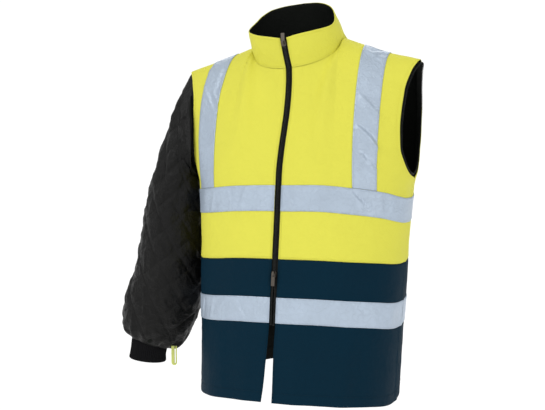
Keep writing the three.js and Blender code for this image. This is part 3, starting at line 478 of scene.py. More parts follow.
def body_panels(top, bottom, step, taped=False):
    """The right front, the left front and the back between two levels."""
    return {
        "front_right": front_surface(-1, top, bottom, step, taped),
        "front_left": front_surface(1, top, bottom, step, taped),
        "back": back_surface(top, bottom, step),
    }


def two_faces(layer, shape):
    """Heights of a layer's two faces over the shell, drawn together at the border so that edges are round."""
    outer, inner = LAYERS[layer]
    share = np.full(shape, EDGE_THINNING)
    share[1:-1, 1:-1] = 1
    middle = (outer + inner) / 2
    half = share * (outer - inner) / 2
    return middle + half, middle - half


def grid_faces(rows, columns, ring, start=0, turned=False):
    """Four-sided faces of a grid of points, closed round its rows where it is a ring."""
    r, c = np.meshgrid(np.arange(rows - 1), np.arange(columns if ring else columns - 1), indexing="ij")
    nxt = (c + 1) % columns
    quads = [r * columns + c, (r + 1) * columns + c, (r + 1) * columns + nxt, r * columns + nxt]
    if turned:
        quads.reverse()
    return np.stack(quads, -1).reshape(-1, 4) + start


def border_faces(rows, columns, ring):
    """Faces that join the borders of an outer and an inner grid."""
    size = rows * columns
    c = np.arange(columns if ring else columns - 1)
    nxt = (c + 1) % columns
    last = (rows - 1) * columns
    parts = [
        np.stack([nxt, nxt + size, c + size, c], -1),
        np.stack([last + c, last + c + size, last + nxt + size, last + nxt], -1),
    ]
    if not ring:
        r = np.arange(rows - 1) * columns
        end = columns - 1
        parts.append(np.stack([r, r + size, r + columns + size, r + columns], -1))
        parts.append(np.stack([r + end + columns, r + end + columns + size, r + end + size, r + end], -1))
    return np.concatenate(parts)


def arc_lengths(points, axis):
    """Length from the first point to each one along an axis of a grid."""
    steps = np.linalg.norm(np.diff(points, axis=axis), axis=-1)
    zero = np.zeros_like(np.take(steps, [0], axis=axis))
    return np.concatenate([zero, np.cumsum(steps, axis=axis)], axis=axis)


def write_mesh(name, points, faces, places=None, materials=(), face_material=None):
    """Object from points in millimetres, with a cloth map in metres along the threads."""
    mesh = bpy.data.meshes.new(name)
    faces = np.asarray(faces)
    corners = faces.shape[1]
    mesh.vertices.add(len(points))
    mesh.vertices.foreach_set("co", (np.asarray(points) * MM).astype(np.float32).ravel())
    mesh.loops.add(faces.size)
    mesh.loops.foreach_set("vertex_index", faces.astype(np.int32).ravel())
    mesh.polygons.add(len(faces))
    mesh.polygons.foreach_set("loop_start", np.arange(0, faces.size, corners, dtype=np.int32))
    mesh.polygons.foreach_set("use_smooth", np.ones(len(faces), bool))
    if face_material is not None:
        mesh.polygons.foreach_set("material_index", np.asarray(face_material, np.int32))
    if places is not None:
        layer = mesh.uv_layers.new(name="cloth")
        layer.uv.foreach_set("vector", places[faces.ravel()].astype(np.float32).ravel())
    mesh.update(calc_edges=True)
    mesh.validate()
    for material in materials:
        mesh.materials.append(material)
    piece = bpy.data.objects.new(name, mesh)
    bpy.context.scene.collection.objects.link(piece)
    return piece


def is_inside_out(points, faces):
    """True where the volume that the faces close comes out negative."""
    corner = points[faces]
    first = corner[:, 0]
    volume = np.einsum("ij,ij->i", first, np.cross(corner[:, 1], corner[:, 2])).sum()
    volume += np.einsum("ij,ij->i", first, np.cross(corner[:, 2], corner[:, 3])).sum()
    return volume < 0


def cloth_places(outer, ring):
    """Cloth map of a grid: along each row and down each column, in metres."""
    u = arc_lengths(outer, 1)
    v = arc_lengths(outer, 0)
    middle = u[:, -1:] / 2 if not ring else 0
    return np.stack([u - middle, v], -1).reshape(-1, 2) * MM


def cloth(name, outer, inner, material, inside=None, ring=False):
    """Closed cloth piece between an outer and an inner grid of points."""
    rows, columns = outer.shape[:2]
    points = np.concatenate([outer.reshape(-1, 3), inner.reshape(-1, 3)])
    shown = grid_faces(rows, columns, ring)
    hidden = grid_faces(rows, columns, ring, rows * columns, True)
    faces = np.concatenate([shown, hidden, border_faces(rows, columns, ring)])
    if is_inside_out(points, faces):
        faces = faces[:, ::-1]
    places = np.tile(cloth_places(outer, ring), (2, 1))
    slots = np.zeros(len(faces), int)
    materials = [material]
    if inside is not None:
        slots[len(shown) : len(shown) + len(hidden)] = 1
        materials.append(inside)
    return write_mesh(name, points, faces, places, materials, slots)


def layered(name, surface, layer, material, inside=None):
    """Cloth piece of a body surface, on its layer's two faces, with rounded edges."""
    outer, inner = two_faces(layer, surface.s.shape)
    return cloth(name, surface.at(outer), surface.at(inner), material, inside)


def settle(piece, node):
    """The piece rides with the garment and stands for its CAD node."""
    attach(piece, "garment")
    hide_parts(node)
    return piece


# Materials.


def node(tree, kind, inputs=None, **settings):
    """Shader node with its settings, and inputs that are either values or the sockets that feed them."""
    made = tree.nodes.new(kind)
    for key, value in settings.items():
        setattr(made, key, value)
    for key, value in (inputs or {}).items():
        if isinstance(value, bpy.types.NodeSocket):
            tree.links.new(value, made.inputs[key])
        else:
            made.inputs[key].default_value = value
    return made


def math_node(tree, operation, first, second=None):
    """Result of a sum on numbers or sockets."""
    inputs = {0: first}
    if second is not None:
        inputs[1] = second
    return node(tree, "ShaderNodeMath", inputs, operation=operation).outputs[0]


def new_group(name, inputs, outputs):
    """Shader node group with number inputs and their defaults, and number outputs."""
    tree = bpy.data.node_groups.new(name, "ShaderNodeTree")
    for label, default in inputs.items():
        socket = tree.interface.new_socket(name=label, in_out="INPUT", socket_type="NodeSocketFloat")
        socket.default_value = default
    for label in outputs:
        tree.interface.new_socket(name=label, in_out="OUTPUT", socket_type="NodeSocketFloat")
    entry = tree.nodes.new("NodeGroupInput")
    leave = tree.nodes.new("NodeGroupOutput")
    return tree, entry.outputs, leave.inputs


def weave_group():
    """Threads that pass over and under each other on the cloth map."""
    tree, given, out = new_group("thread_weave", {"Thread": 0.0006, "Float": 1.0}, ["Height"])
    place = node(tree, "ShaderNodeUVMap", uv_map="cloth").outputs[0]
    parts = node(tree, "ShaderNodeSeparateXYZ", {0: place})
    u = math_node(tree, "DIVIDE", parts.outputs[0], given["Thread"])
    v = math_node(tree, "DIVIDE", parts.outputs[1], given["Thread"])
    warp = math_node(tree, "ABSOLUTE", math_node(tree, "SINE", math_node(tree, "MULTIPLY", u, math.pi)))
    weft = math_node(tree, "ABSOLUTE", math_node(tree, "SINE", math_node(tree, "MULTIPLY", v, math.pi)))
    column = math_node(tree, "FLOOR", math_node(tree, "DIVIDE", u, given["Float"]))
    both = math_node(tree, "ADD", column, math_node(tree, "FLOOR", v))
    over = math_node(tree, "PINGPONG", both, 1.0)
    under = math_node(tree, "SUBTRACT", 1.0, over)
    high = math_node(tree, "MULTIPLY", warp, over)
    low = math_node(tree, "MULTIPLY", weft, under)
    tree.links.new(math_node(tree, "ADD", high, low), out["Height"])
    return tree


def mottle_group():
    """Slow and fine patches over the surface, for colour and gloss that vary a little."""
    tree, given, out = new_group("cloth_mottle", {"Patch": 12.0, "Grain": 260.0}, ["Patches", "Grains"])
    place = node(tree, "ShaderNodeTexCoord").outputs["Object"]
    slow = node(tree, "ShaderNodeTexNoise", {"Vector": place, "Scale": given["Patch"], "Detail": 4.0})
    fine = node(tree, "ShaderNodeTexNoise", {"Vector": place, "Scale": given["Grain"], "Detail": 2.0})
    tree.links.new(slow.outputs[0], out["Patches"])
    tree.links.new(fine.outputs[0], out["Grains"])
    return tree


def crinkle_group():
    """Fine creases that handling leaves in a coated cloth."""
    tree, given, out = new_group("handled_creases", {"Scale": 60.0, "Sharpness": 3.0}, ["Height"])
    place = node(tree, "ShaderNodeTexCoord").outputs["Object"]
    field = node(tree, "ShaderNodeTexNoise", {"Vector": place, "Scale": given["Scale"], "Detail": 3.0})
    centred = math_node(tree, "ABSOLUTE", math_node(tree, "SUBTRACT", field.outputs[0], 0.5))
    ridge = math_node(tree, "SUBTRACT", 1.0, math_node(tree, "MULTIPLY", centred, 6.0))
    held = math_node(tree, "MAXIMUM", ridge, 0.0)
    tree.links.new(math_node(tree, "POWER", held, given["Sharpness"]), out["Height"])
    return tree


GROUPS = {}


def group_node(tree, name, **values):
    """The shared group of that name in a material, with this material's own values."""
    makers = {"thread_weave": weave_group, "cloth_mottle": mottle_group, "handled_creases": crinkle_group}
    if name not in GROUPS:
        GROUPS[name] = makers[name]()
    made = tree.nodes.new("ShaderNodeGroup")
    made.node_tree = GROUPS[name]
    for key, value in values.items():
        made.inputs[key].default_value = value
    return made.outputs


def start_material(name, roughness, **numbers):
    """Material with its Principled shader, whose plain numbers are set on its own sockets."""
    material = bpy.data.materials.new(f"{name}_finish")
    material.use_nodes = True
    tree = material.node_tree
    shader = tree.nodes["Principled BSDF"]
    shader.inputs["Roughness"].default_value = roughness
    for key, value in numbers.items():
        shader.inputs[key.replace("_", " ")].default_value = value
    return material, tree, shader


def shade(colour, share):
    """A colour made darker or lighter, with its alpha."""
    return (*(min(part * share, 1) for part in colour), 1)


def tinted(tree, factor, colour, low, high):
    """Base colour that runs between a darker and a lighter shade of one colour."""
    mix = node(tree, "ShaderNodeMix", data_type="RGBA")
    tree.links.new(factor, mix.inputs[0])
    mix.inputs[6].default_value = shade(colour, low)
    mix.inputs[7].default_value = shade(colour, high)
    return mix.outputs[2]


def spread_value(tree, factor, low, high):
    """Number that runs from low to high with a patchy factor."""
    mapped = node(tree, "ShaderNodeMapRange", {0: factor, 1: 0.3, 2: 0.7, 3: low, 4: high})
    return mapped.outputs[0]


def bumped(tree, shader, layers):
    """Bump nodes one on another, each with a height, a distance in metres and a strength."""
    normal = None
    for height, distance, strength in layers:
        made = node(tree, "ShaderNodeBump", {"Height": height, "Distance": distance, "Strength": strength})
        if normal is not None:
            tree.links.new(normal, made.inputs["Normal"])
        normal = made.outputs[0]
    tree.links.new(normal, shader.inputs["Normal"])


def woven_material(name, colour, thread, spread=(0.93, 1.05), rough=(0.5, 0.66), float_over=2.0,
                   crinkle=(55.0, 0.0006), **numbers):
    """Woven cloth: threads, creases from handling, patches in its colour and gloss, and painted shade that
    darkens the gaps between threads.
    """
    material, tree, shader = start_material(name, 0.6, **numbers)
    weave = group_node(tree, "thread_weave", Thread=thread, Float=float_over)
    mottle = group_node(tree, "cloth_mottle", Patch=9.0, Grain=320.0)
    crease = group_node(tree, "handled_creases", Scale=crinkle[0])
    # Painted shade: the colour is lighter on the threads' crowns and darker in the gaps between them.
    thread_gap_shade = math_node(tree, "MULTIPLY", weave["Height"], 0.35)
    factor = math_node(tree, "ADD", thread_gap_shade, math_node(tree, "MULTIPLY", mottle["Patches"], 0.65))
    tree.links.new(tinted(tree, factor, colour, *spread), shader.inputs["Base Color"])
    tree.links.new(spread_value(tree, mottle["Patches"], *rough), shader.inputs["Roughness"])
    layers = [(crease["Height"], crinkle[1], 0.6), (weave["Height"], thread * 0.3, 0.7)]
    bumped(tree, shader, layers)
    return material


def tape_material(colour):
    """Glass-bead tape: beads packed on a bonded cloth, with faint creases, painted shade that darkens the
    tape along their lines, and patches in its colour.
    """
    material, tree, shader = start_material("reflective_tape", 0.45, Metallic=0.3, Coat_Weight=0.15)
    shader.inputs["Coat Roughness"].default_value = 0.35
    place = node(tree, "ShaderNodeUVMap", uv_map="cloth").outputs[0]
    beads = node(tree, "ShaderNodeTexVoronoi", {"Vector": place, "Scale": 3200.0})
    mottle = group_node(tree, "cloth_mottle", Patch=22.0, Grain=420.0)
    crease = group_node(tree, "handled_creases", Scale=85.0)
    # Painted shade: the tape's colour is darker along the lines of its creases.
    crease_shade = math_node(tree, "MULTIPLY", crease["Height"], -0.25)
    factor = math_node(tree, "ADD", mottle["Patches"], crease_shade)
    tree.links.new(tinted(tree, factor, colour, 0.9, 1.08), shader.inputs["Base Color"])
    tree.links.new(spread_value(tree, mottle["Patches"], 0.36, 0.5), shader.inputs["Roughness"])
    layers = [(crease["Height"], 0.0007, 0.7), (beads.outputs["Distance"], 0.0001, 0.25)]
    bumped(tree, shader, layers)
    return material


def knit_material(name, colour):
    """Knit: wales of stitches that lean both ways along the ribs."""
    material, tree, shader = start_material(name, 0.9, Specular_IOR_Level=0.05)
    place = node(tree, "ShaderNodeUVMap", uv_map="cloth").outputs[0]
    parts = node(tree, "ShaderNodeSeparateXYZ", {0: place})
    across = math_node(tree, "DIVIDE", parts.outputs[0], 0.0018)
    lean = math_node(tree, "PINGPONG", across, 1.0)
    along = math_node(tree, "ADD", math_node(tree, "DIVIDE", parts.outputs[1], 0.0016), lean)
    wave = math_node(tree, "SINE", math_node(tree, "MULTIPLY", along, 2 * math.pi))
    height = math_node(tree, "ADD", math_node(tree, "MULTIPLY", wave, 0.5), lean)
    mottle = group_node(tree, "cloth_mottle", Patch=30.0, Grain=500.0)
    tree.links.new(tinted(tree, mottle["Patches"], colour, 0.7, 1.25), shader.inputs["Base Color"])
    bumped(tree, shader, [(mottle["Grains"], 0.0003, 0.4), (height, 0.0004, 0.8)])
    return material


def thread_material(name, colour):
    """Sewing thread: matt, with fine grain."""
    material, tree, shader = start_material(name, 0.6, Specular_IOR_Level=0.15)
    mottle = group_node(tree, "cloth_mottle", Patch=140.0, Grain=1500.0)
    tree.links.new(tinted(tree, mottle["Patches"], colour, 0.8, 1.15), shader.inputs["Base Color"])
    bumped(tree, shader, [(mottle["Grains"], 0.0001, 0.6)])
    return material


def coil_material(name, colour):
    """Nylon coil: dull plastic with scuffs."""
    material, tree, shader = start_material(name, 0.42, Specular_IOR_Level=0.5)
    mottle = group_node(tree, "cloth_mottle", Patch=160.0, Grain=1800.0)
    tree.links.new(tinted(tree, mottle["Patches"], colour, 0.75, 1.2), shader.inputs["Base Color"])
    tree.links.new(spread_value(tree, mottle["Patches"], 0.32, 0.5), shader.inputs["Roughness"])
    bumped(tree, shader, [(mottle["Grains"], 0.00005, 0.5)])
    return material


def metal_material(name, colour):
    """Cast zinc with a worn dark finish: brighter on its edges, dull in its hollows."""
    material, tree, shader = start_material(name, 0.5, Metallic=1.0)
    mottle = group_node(tree, "cloth_mottle", Patch=220.0, Grain=2600.0)
    sharp = node(tree, "ShaderNodeNewGeometry").outputs["Pointiness"]
    edge = node(tree, "ShaderNodeMapRange", {0: sharp, 1: 0.49, 2: 0.56, 3: 0.0, 4: 0.5}).outputs[0]
    factor = math_node(tree, "ADD", math_node(tree, "MULTIPLY", mottle["Patches"], 0.6), edge)
    tree.links.new(tinted(tree, factor, colour, 0.55, 1.3), shader.inputs["Base Color"])
    tree.links.new(spread_value(tree, mottle["Patches"], 0.4, 0.6), shader.inputs["Roughness"])
    bumped(tree, shader, [(mottle["Grains"], 0.00006, 0.4)])
    return material


def make_materials(make):
    """All finishes, named for the record's slots where they have one."""
    return {
        "yellow_oxford": woven_material("yellow_oxford", make.yellow, 0.0006, Specular_IOR_Level=0.12),
        "navy_oxford": woven_material("navy_oxford", make.navy, 0.0006, spread=(0.85, 1.15),
                                      Specular_IOR_Level=0.04),
        "black_lining": woven_material("black_lining", make.lining, 0.0003, spread=(0.7, 1.4), float_over=1.0,
                                       rough=(0.6, 0.75), Specular_IOR_Level=0.06),
        "quilted_nylon": woven_material("quilted_nylon", make.nylon, 0.00025, spread=(0.8, 1.3),
                                        float_over=1.0, rough=(0.36, 0.48), crinkle=(110.0, 0.001),
                                        Specular_IOR_Level=0.17),
        "zip_tape": woven_material("zip_tape", make.zip_colour, 0.0005, spread=(0.7, 1.4),
                                   crinkle=(40.0, 0.0001), Specular_IOR_Level=0.1),
        "yellow_elastic": woven_material("yellow_elastic", make.elastic, 0.0007, float_over=1.0,
                                         crinkle=(40.0, 0.0001), Specular_IOR_Level=0.2),
        "reflective_tape": tape_material(make.silver),
        "rib_knit": knit_material("rib_knit", make.knit),
        "yellow_thread": thread_material("yellow_thread", make.yellow),
        "silver_thread": thread_material("silver_thread", make.silver),
        "navy_thread": thread_material("navy_thread", make.navy),
        "zip_coil": coil_material("zip_coil", make.zip_colour),
        "zip_metal": metal_material("zip_metal", make.metal),
    }


# Collar.

COLLAR_ROW = 7
COLLAR_FOOT = {"outer": -0.012, "lining": 0.008}


def collar_point(side, q, t):
    """Point of the collar. q runs from 0 at the front centre to 1 at the back centre, t up to the rim."""
    q, t = np.broadcast_arrays(np.asarray(q, float), np.asarray(t, float))
    share = NECK_SHARE * np.where(q < 0.5, 2 * q, 2 - 2 * q)
    seam = np.zeros_like(q)
    base = np.where((q < 0.5)[..., None], form(-1, side * share, seam), form(1, side * share, seam))
    angle = q * np.pi
    lean = RIM["x"] + (RIM["front_x"] - RIM["x"]) * (1 - smooth(q / 0.3))
    x = lean + side * RIM["half"][side] * np.sin(angle)
    rim = np.stack([x, RIM["y"] - RIM["depth"] * np.cos(angle), rim_height[side](q) + tilt(x)], -1)
    outward = np.stack([side * np.sin(angle), -np.cos(angle), np.zeros_like(q)], -1)
    bulge = RIM["bulge"] * np.sin(np.pi * t)
    return base + (rim - base) * t[..., None] + outward * bulge[..., None]


def collar_normal(side, q, t):
    """Outward normal of the collar, by small steps."""
    across = collar_point(side, np.minimum(q + 0.002, 1), t) - collar_point(side, np.maximum(q - 0.002, 0), t)
    along = collar_point(side, q, np.minimum(t + 0.01, 1)) - collar_point(side, q, np.maximum(t - 0.01, 0))
    return unit(np.cross(across, along)) * side


def collar_from_zip(side, distance, t):
    """Place round the collar that is so far from the zip line."""
    centre = collar_point(side, np.zeros_like(t), t)
    reach = lambda q: np.linalg.norm(collar_point(side, q, t) - centre, axis=-1)
    return solve(lambda q: reach(q) - distance, 0, 0.4, np.shape(t))


def collar_relief(point, q, t):
    """Soft dents of the collar, with the valleys of its two rows of sewing."""
    dents = noise(point, (26, 26, 40), 11) * 1.1 + (ridged(point, (22, 22, 16), 12) - 0.3) * 0.5
    calm = smooth(t / 0.25) * smooth(q / 0.08)
    return dents * calm + seam_dip((1 - t) * COLLAR_HEIGHT - COLLAR_ROW, 1.8, 0.5)


class Collar:
    """Grid of points all round the collar, from the wearer's right front edge to the left one."""

    def __init__(self, first, rows, columns, low, high=1.0):
        t = np.linspace(low, high, rows)[:, None]
        sides = []
        for side in (-1, 1):
            start = collar_from_zip(side, first, t)
            q = start + (1 - start) * np.linspace(0, 1, columns)[None, :]
            point = collar_point(side, q, t)
            relief = collar_relief(point, q, np.broadcast_to(t, q.shape))
            sides.append((point, collar_normal(side, q, t), relief))
        right, left = sides
        join = lambda a, b: np.concatenate([a, b[:, -2::-1]], 1)
        self.base, self.normal, self.relief = (join(a, b) for a, b in zip(right, left))

    def at(self, height):
        return self.base + self.normal * (self.relief + height)[..., None]


# Sleeve and cuff.


class TubePath:
    """Path through the stations of a tube, with its half width and half depth."""

    def __init__(self, stations):
        points = np.array([station[:3] for station in stations], float)
        along = np.concatenate([[0], np.cumsum(np.linalg.norm(np.diff(points, axis=0), axis=1))])
        self.length = along[-1]
        self.parts = [curve([(d, *row) for d, row in zip(along, stations)], k) for k in range(1, 6)]

    def centre(self, d):
        return np.stack([part(d) for part in self.parts[:3]], -1)

    def ring(self, d, turn):
        """Points of the tube and its direction. turn 0 is its outer side, a quarter its front."""
        d, turn = np.broadcast_arrays(np.clip(d, 0, self.length), turn)
        down = unit(self.centre(np.minimum(d + 4, self.length)) - self.centre(np.maximum(d - 4, 0)))
        across = np.array((math.cos(VIEW_TURN), math.sin(VIEW_TURN), 0.0))
        across = unit(across - down * (down @ across)[..., None])
        front = np.cross(down, across)
        angle = turn * 2 * np.pi
        wide = self.parts[3](d) * np.cos(angle)
        deep = self.parts[4](d) * np.sin(angle)
        return self.centre(d) - across * wide[..., None] + front * deep[..., None], down


def armhole_loop(side, count):
    """The armhole's edge as a closed loop, with normals and the direction into the hole."""
    level = np.linspace(0, ARMHOLE_BOTTOM, 161)
    turn = np.arange(count) / count
    samples = []
    for face in (-1, 1):
        s = side * ARMHOLE_SHARE[face](level)
        points = form(face, s, level)
        normals = form_normal(face, s, level)
        lengths = arc_lengths(points[None], 1)[0]
        at = (2 * turn if face < 0 else 2 - 2 * turn) * lengths[-1]
        values = [np.interp(at, lengths, part) for part in (*points.T, *normals.T)]
        samples.append((np.stack(values[:3], -1), np.stack(values[3:], -1)))
    front = (turn <= 0.5)[:, None]
    point = np.where(front, samples[0][0], samples[1][0])
    normal = np.where(front, samples[0][1], samples[1][1])
    reach = max(count // 42, 1)
    normal = unit(normal + np.roll(normal, reach, 0) + np.roll(normal, -reach, 0))
    tangent = unit(np.roll(point, -reach, 0) - np.roll(point, reach, 0))
    into = unit(np.cross(tangent, normal)) * -side
    return point, normal, into


# Rows of points on the sleeve's head and down the arm.
HEAD_ROWS = 70
ARM_ROWS = 140

# Where the sleeve's cloth starts inside the armhole and where it comes out, and how strongly its head
# leaves the armhole and meets the arm, over the shoulder and under the arm.
SLEEVE_TUCK = {"inside": -9, "inside_depth": 4.9, "outside": 3.5, "depth": 3.8}
SLEEVE_LEAVING = (140, 45)
SLEEVE_ARRIVING = (120, 60)
OVER_SHOULDER = np.array((-0.42, 0, -0.9))
UNDER_ARM = np.array((-1, 0, -0.1))

# How far the sleeve's head bulges over the edge of the armhole, as share of a turn and distance, and how
# much of that it stands off the body.
OVER_LIFT = 0.45
SLEEVE_OVER = [(0.06, 0), (0.18, 16), (0.27, 22), (0.36, 24), (0.42, 20), (0.5, 0)]


def sleeve_base(columns):
    """Rows of the sleeve's plain surface: tucked into the armhole, out over the shoulder, down the arm."""
    path = TubePath(SLEEVE)
    point, normal, into = armhole_loop(-1, columns)
    start = point + into * SLEEVE_TUCK["outside"] - normal * SLEEVE_TUCK["depth"]
    tuck = point + into * SLEEVE_TUCK["inside"] - normal * SLEEVE_TUCK["inside_depth"]
    turn = np.arange(columns) / columns
    to, down = path.ring(np.zeros(columns), turn)
    under = ((1 - np.cos(turn * 2 * np.pi)) / 2)[:, None]
    out = unit(OVER_SHOULDER * (1 - under) + UNDER_ARM * under + into * 0.35)
    leaving = out * (SLEEVE_LEAVING[0] * (1 - under) + SLEEVE_LEAVING[1] * under)
    arriving = down * (SLEEVE_ARRIVING[0] * (1 - under) + SLEEVE_ARRIVING[1] * under)
    t = (np.arange(HEAD_ROWS) / HEAD_ROWS)[:, None, None]
    head = hermite(t, start, leaving, to, arriving)
    over = curve(SLEEVE_OVER)(turn)[:, None] * (1 - smooth((t - 0.12) / 0.3))
    head = head + normal * (OVER_LIFT * over * smooth(t / 0.04)) - into * over * smooth((t - 0.03) / 0.07)
    d = path.length * np.arange(ARM_ROWS + 1) / ARM_ROWS
    arm, _ = path.ring(d[:, None], turn[None, :])
    steps = (start - tuck) / 3
    tucks = [tuck + steps * k for k in range(3)]
    return np.concatenate([np.stack(tucks), head, arm]), len(tucks)


def ring_normals(rows):
    """Outward normals of a closed tube of points, row by row."""
    across = np.roll(rows, -1, 1) - np.roll(rows, 1, 1)
    along = np.gradient(rows, axis=0)
    return unit(np.cross(along, across))


# Quilting: how high and how square the diamonds puff, and for each slant of stitch line how many cross a
# turn, how many come by for each millimetre down the arm, and where the first lies.
QUILT = {"puff": 4.4, "square": 0.3, "slants": ((-8, 0.01262, 2.158), (6, 0.01491, -0.923))}
GATHERS = {"count": 14, "height": 3.4}

# Loose folds of the sleeve's head, each on a line: share of a turn times the sleeve's girth, height down
# the arm, the same for its end, half width, height.
SLEEVE_ROUND = 430
SLEEVE_FOLDS = [
    (48, -216, 60, -172, 8, 4.0), (82, -160, 104, -140, 7, 3.2), (118, -118, 146, -88, 8, 3.4),
    (6, -232, 20, -150, 10, 3.6), (62, -130, 84, -40, 10, 3.0), (20, -120, 44, -30, 11, 2.6),
    (140, -60, 128, 30, 10, 2.4), (400, -220, 380, -120, 11, 3.4), (330, -190, 345, -90, 10, 3.0),
    (265, -110, 290, -30, 10, 2.6), (210, -60, 225, 30, 10, 2.4), (96, 10, 116, 70, 12, 2.2),
]

# How far the sleeve's inner face lies inside its plain surface, and the cuff's ribs, wall and points.
SLEEVE_WALL = 1.8
CUFF_RIBS = {"count": 56, "height": 1.1, "square": 0.7, "wall": 2.2, "rows": 26, "columns": 6}


def sleeve_shape(columns):
    """Plain rows of the sleeve with normals, and the height of its quilting, folds and gathers on them."""
    base, tucked = sleeve_base(columns)
    last = base.shape[0] - 1
    row = np.arange(last + 1)[:, None]
    turn = np.broadcast_to(np.arange(columns) / columns, base.shape[:2])
    down = arc_lengths(base, 0)
    down = down - down[tucked + HEAD_ROWS]
    pillow = 1
    for around, climb, start in QUILT["slants"]:
        pillow = pillow * np.abs(np.sin(np.pi * (around * turn + climb * down + start)))
    pillow = pillow ** QUILT["square"]
    fine = (ridged(base, (15, 15, 20), 21) - 0.3) * 1.5 + noise(base, (8, 8, 11), 22) * 0.8
    folds = creases(np.stack([turn * SLEEVE_ROUND, turn, down], -1), SLEEVE_FOLDS)
    broad = noise(base, (46, 46, 60), 23) * 2.2 + folds
    near_end = smooth((row - last + 26) / 18) * smooth((last - row) / 8)
    gather = GATHERS["height"] * near_end * np.cos(turn * GATHERS["count"] * 2 * np.pi)
    shown = smooth((row - tucked) / 26) * smooth((last - row) / 14)
    height = (QUILT["puff"] * pillow + fine * (0.35 + pillow) + broad) * shown + gather
    return base, ring_normals(base), height


def tube_piece(name, base, normal, height, wall, material, inside=None):
    """Closed tube of cloth on a ring grid."""
    outer = base + normal * height[..., None]
    inner = base - normal * wall
    for row in (0, -1):
        outer[row] = outer[row] * (1 - EDGE_THINNING) + inner[row] * EDGE_THINNING
    return cloth(name, outer, inner, material, inside, ring=True)


# Sewing.


def resample(points, normals, pitch):
    """Places along a line at an even pitch, with directions and normals."""
    lengths = arc_lengths(points[None], 1)[0]
    count = max(int(lengths[-1] / pitch), 1)
    at = (np.arange(count) + 0.5) * lengths[-1] / count
    pick = lambda d, rows: np.stack([np.interp(d, lengths, part) for part in rows.T], -1)
    ahead = unit(pick(at + 0.5, points) - pick(at - 0.5, points))
    return pick(at, points), ahead, unit(pick(at, normals))


def beads(places, ahead, normal, length, width, height, rings=3, sides=4):
    """Small rounded bars along lines, one at each place: stitches or zip teeth."""
    across = unit(np.cross(ahead, normal))
    count = len(places)
    points = []
    for k in range(rings):
        t = k / (rings - 1) * 2 - 1
        size = math.sqrt(max(1 - 0.75 * t * t, 0.1))
        for j in range(sides):
            angle = 2 * math.pi * (j + 0.5) / sides
            lift = height * (0.55 * size * math.sin(angle) + 0.35 * (1 - t * t))
            aside = width / 2 * size * math.cos(angle)
            points.append(places + ahead * (t * length / 2) + across * aside + normal * lift)
    points = np.stack(points, 1).reshape(-1, 3)
    ring = []
    for k in range(rings - 1):
        for j in range(sides):
            nxt = (j + 1) % sides
            ring.append([k * sides + j, k * sides + nxt, (k + 1) * sides + nxt, (k + 1) * sides + j])
    last = (rings - 1) * sides
    caps = [[3, 2, 1, 0], [last, last + 1, last + 2, last + 3]]
    faces = np.array(ring + caps)[None] + (np.arange(count) * rings * sides)[:, None, None]
    faces = faces.reshape(-1, 4)
    if is_inside_out(points, faces):
        faces = faces[:, ::-1]
    return points, faces


def joined_mesh(name, parts, materials):
    """One object from several lots of points and faces."""
    points = []
    faces = []
    start = 0
    for some_points, some_faces in parts:
        points.append(some_points)
        faces.append(some_faces + start)
        start += len(some_points)
    return write_mesh(name, np.concatenate(points), np.concatenate(faces), None, materials)


STITCH = {"pitch": 3.4, "length": 2.7, "width": 0.55, "height": 0.45, "lift": 0.15}


def stitches(name, lines, material):
    """A lockstitch along each line of points and normals."""
    parts = []
    for points, normals in lines:
        places, ahead, normal = resample(points, normals, STITCH["pitch"])
        parts.append(beads(places, ahead, normal, STITCH["length"], STITCH["width"], STITCH["height"]))
    piece = joined_mesh(name, parts, [material])
    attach(piece, "garment")
    return piece


def line_on(face, s, level, height, taped=False):
    """Line of points and normals on the worn body at a height over the shell."""
    surface = Surface(face, s, level, taped)
    return surface.at(height + STITCH["lift"]), surface.normal


# Zip.

# Tape beside the zip line, its end on the collar, how far and how fast the halves part below the lower
# slider, and the coil. Points lie about a step apart on the body and in rows on the collar.
ZIP_EDGE = {"tape_from": 1.2, "tape_to": 14, "front": -2.2, "back": -3.4}
ZIP_TOP = 0.96
ZIP_START = -3
ZIP_STEP = 4.0
ZIP_COLLAR_ROWS = 26
PARTING = (1.4, 40)
TEETH = {"pitch": 1.7, "reach": 3.4, "middle": 1.35, "width": 0.8, "height": 1.25, "rise": -0.25}


def zip_grid(side, widths):
    """Points, normals and relief beside the zip line, from the collar's rim to the zip's end."""
    widths = np.asarray(widths, float)[None, :]
    columns = widths.shape[1]
    t = np.broadcast_to(np.linspace(ZIP_TOP, 0, ZIP_COLLAR_ROWS)[:, None], (ZIP_COLLAR_ROWS, columns))
    q = collar_from_zip(side, widths, t)
    upper = collar_point(side, q, t), collar_normal(side, q, t)
    upper_relief = collar_relief(upper[0], q, t)
    count = int((ZIP_START - ZIP_END) / ZIP_STEP)
    level = np.broadcast_to(np.linspace(ZIP_START, ZIP_END, count)[:, None], (count, columns))
    apart = PARTING[0] * smooth((LOWER_SLIDER - level) / PARTING[1])
    s = side * share_from_zip(side, widths + apart, level)
    lower = form(-1, s, level), form_normal(-1, s, level)
    lower_relief = body_relief(-1, s, level, lower[0])
    join = lambda a, b: np.concatenate([a, b])
    return join(upper[0], lower[0]), join(upper[1], lower[1]), join(upper_relief, lower_relief)


def zip_tape(side, material):
    """Tape of one half of the zip, sewn behind the front's edge."""
    name = "zip_tape_right" if side < 0 else "zip_tape_left"
    widths = np.linspace(ZIP_EDGE["tape_from"], ZIP_EDGE["tape_to"], 9)
    base, normal, relief = zip_grid(side, widths)
    outer = base + normal * (relief + ZIP_EDGE["front"])[..., None]
    inner = base + normal * (relief + ZIP_EDGE["back"])[..., None]
    return settle(cloth(name, outer, inner, material), name)


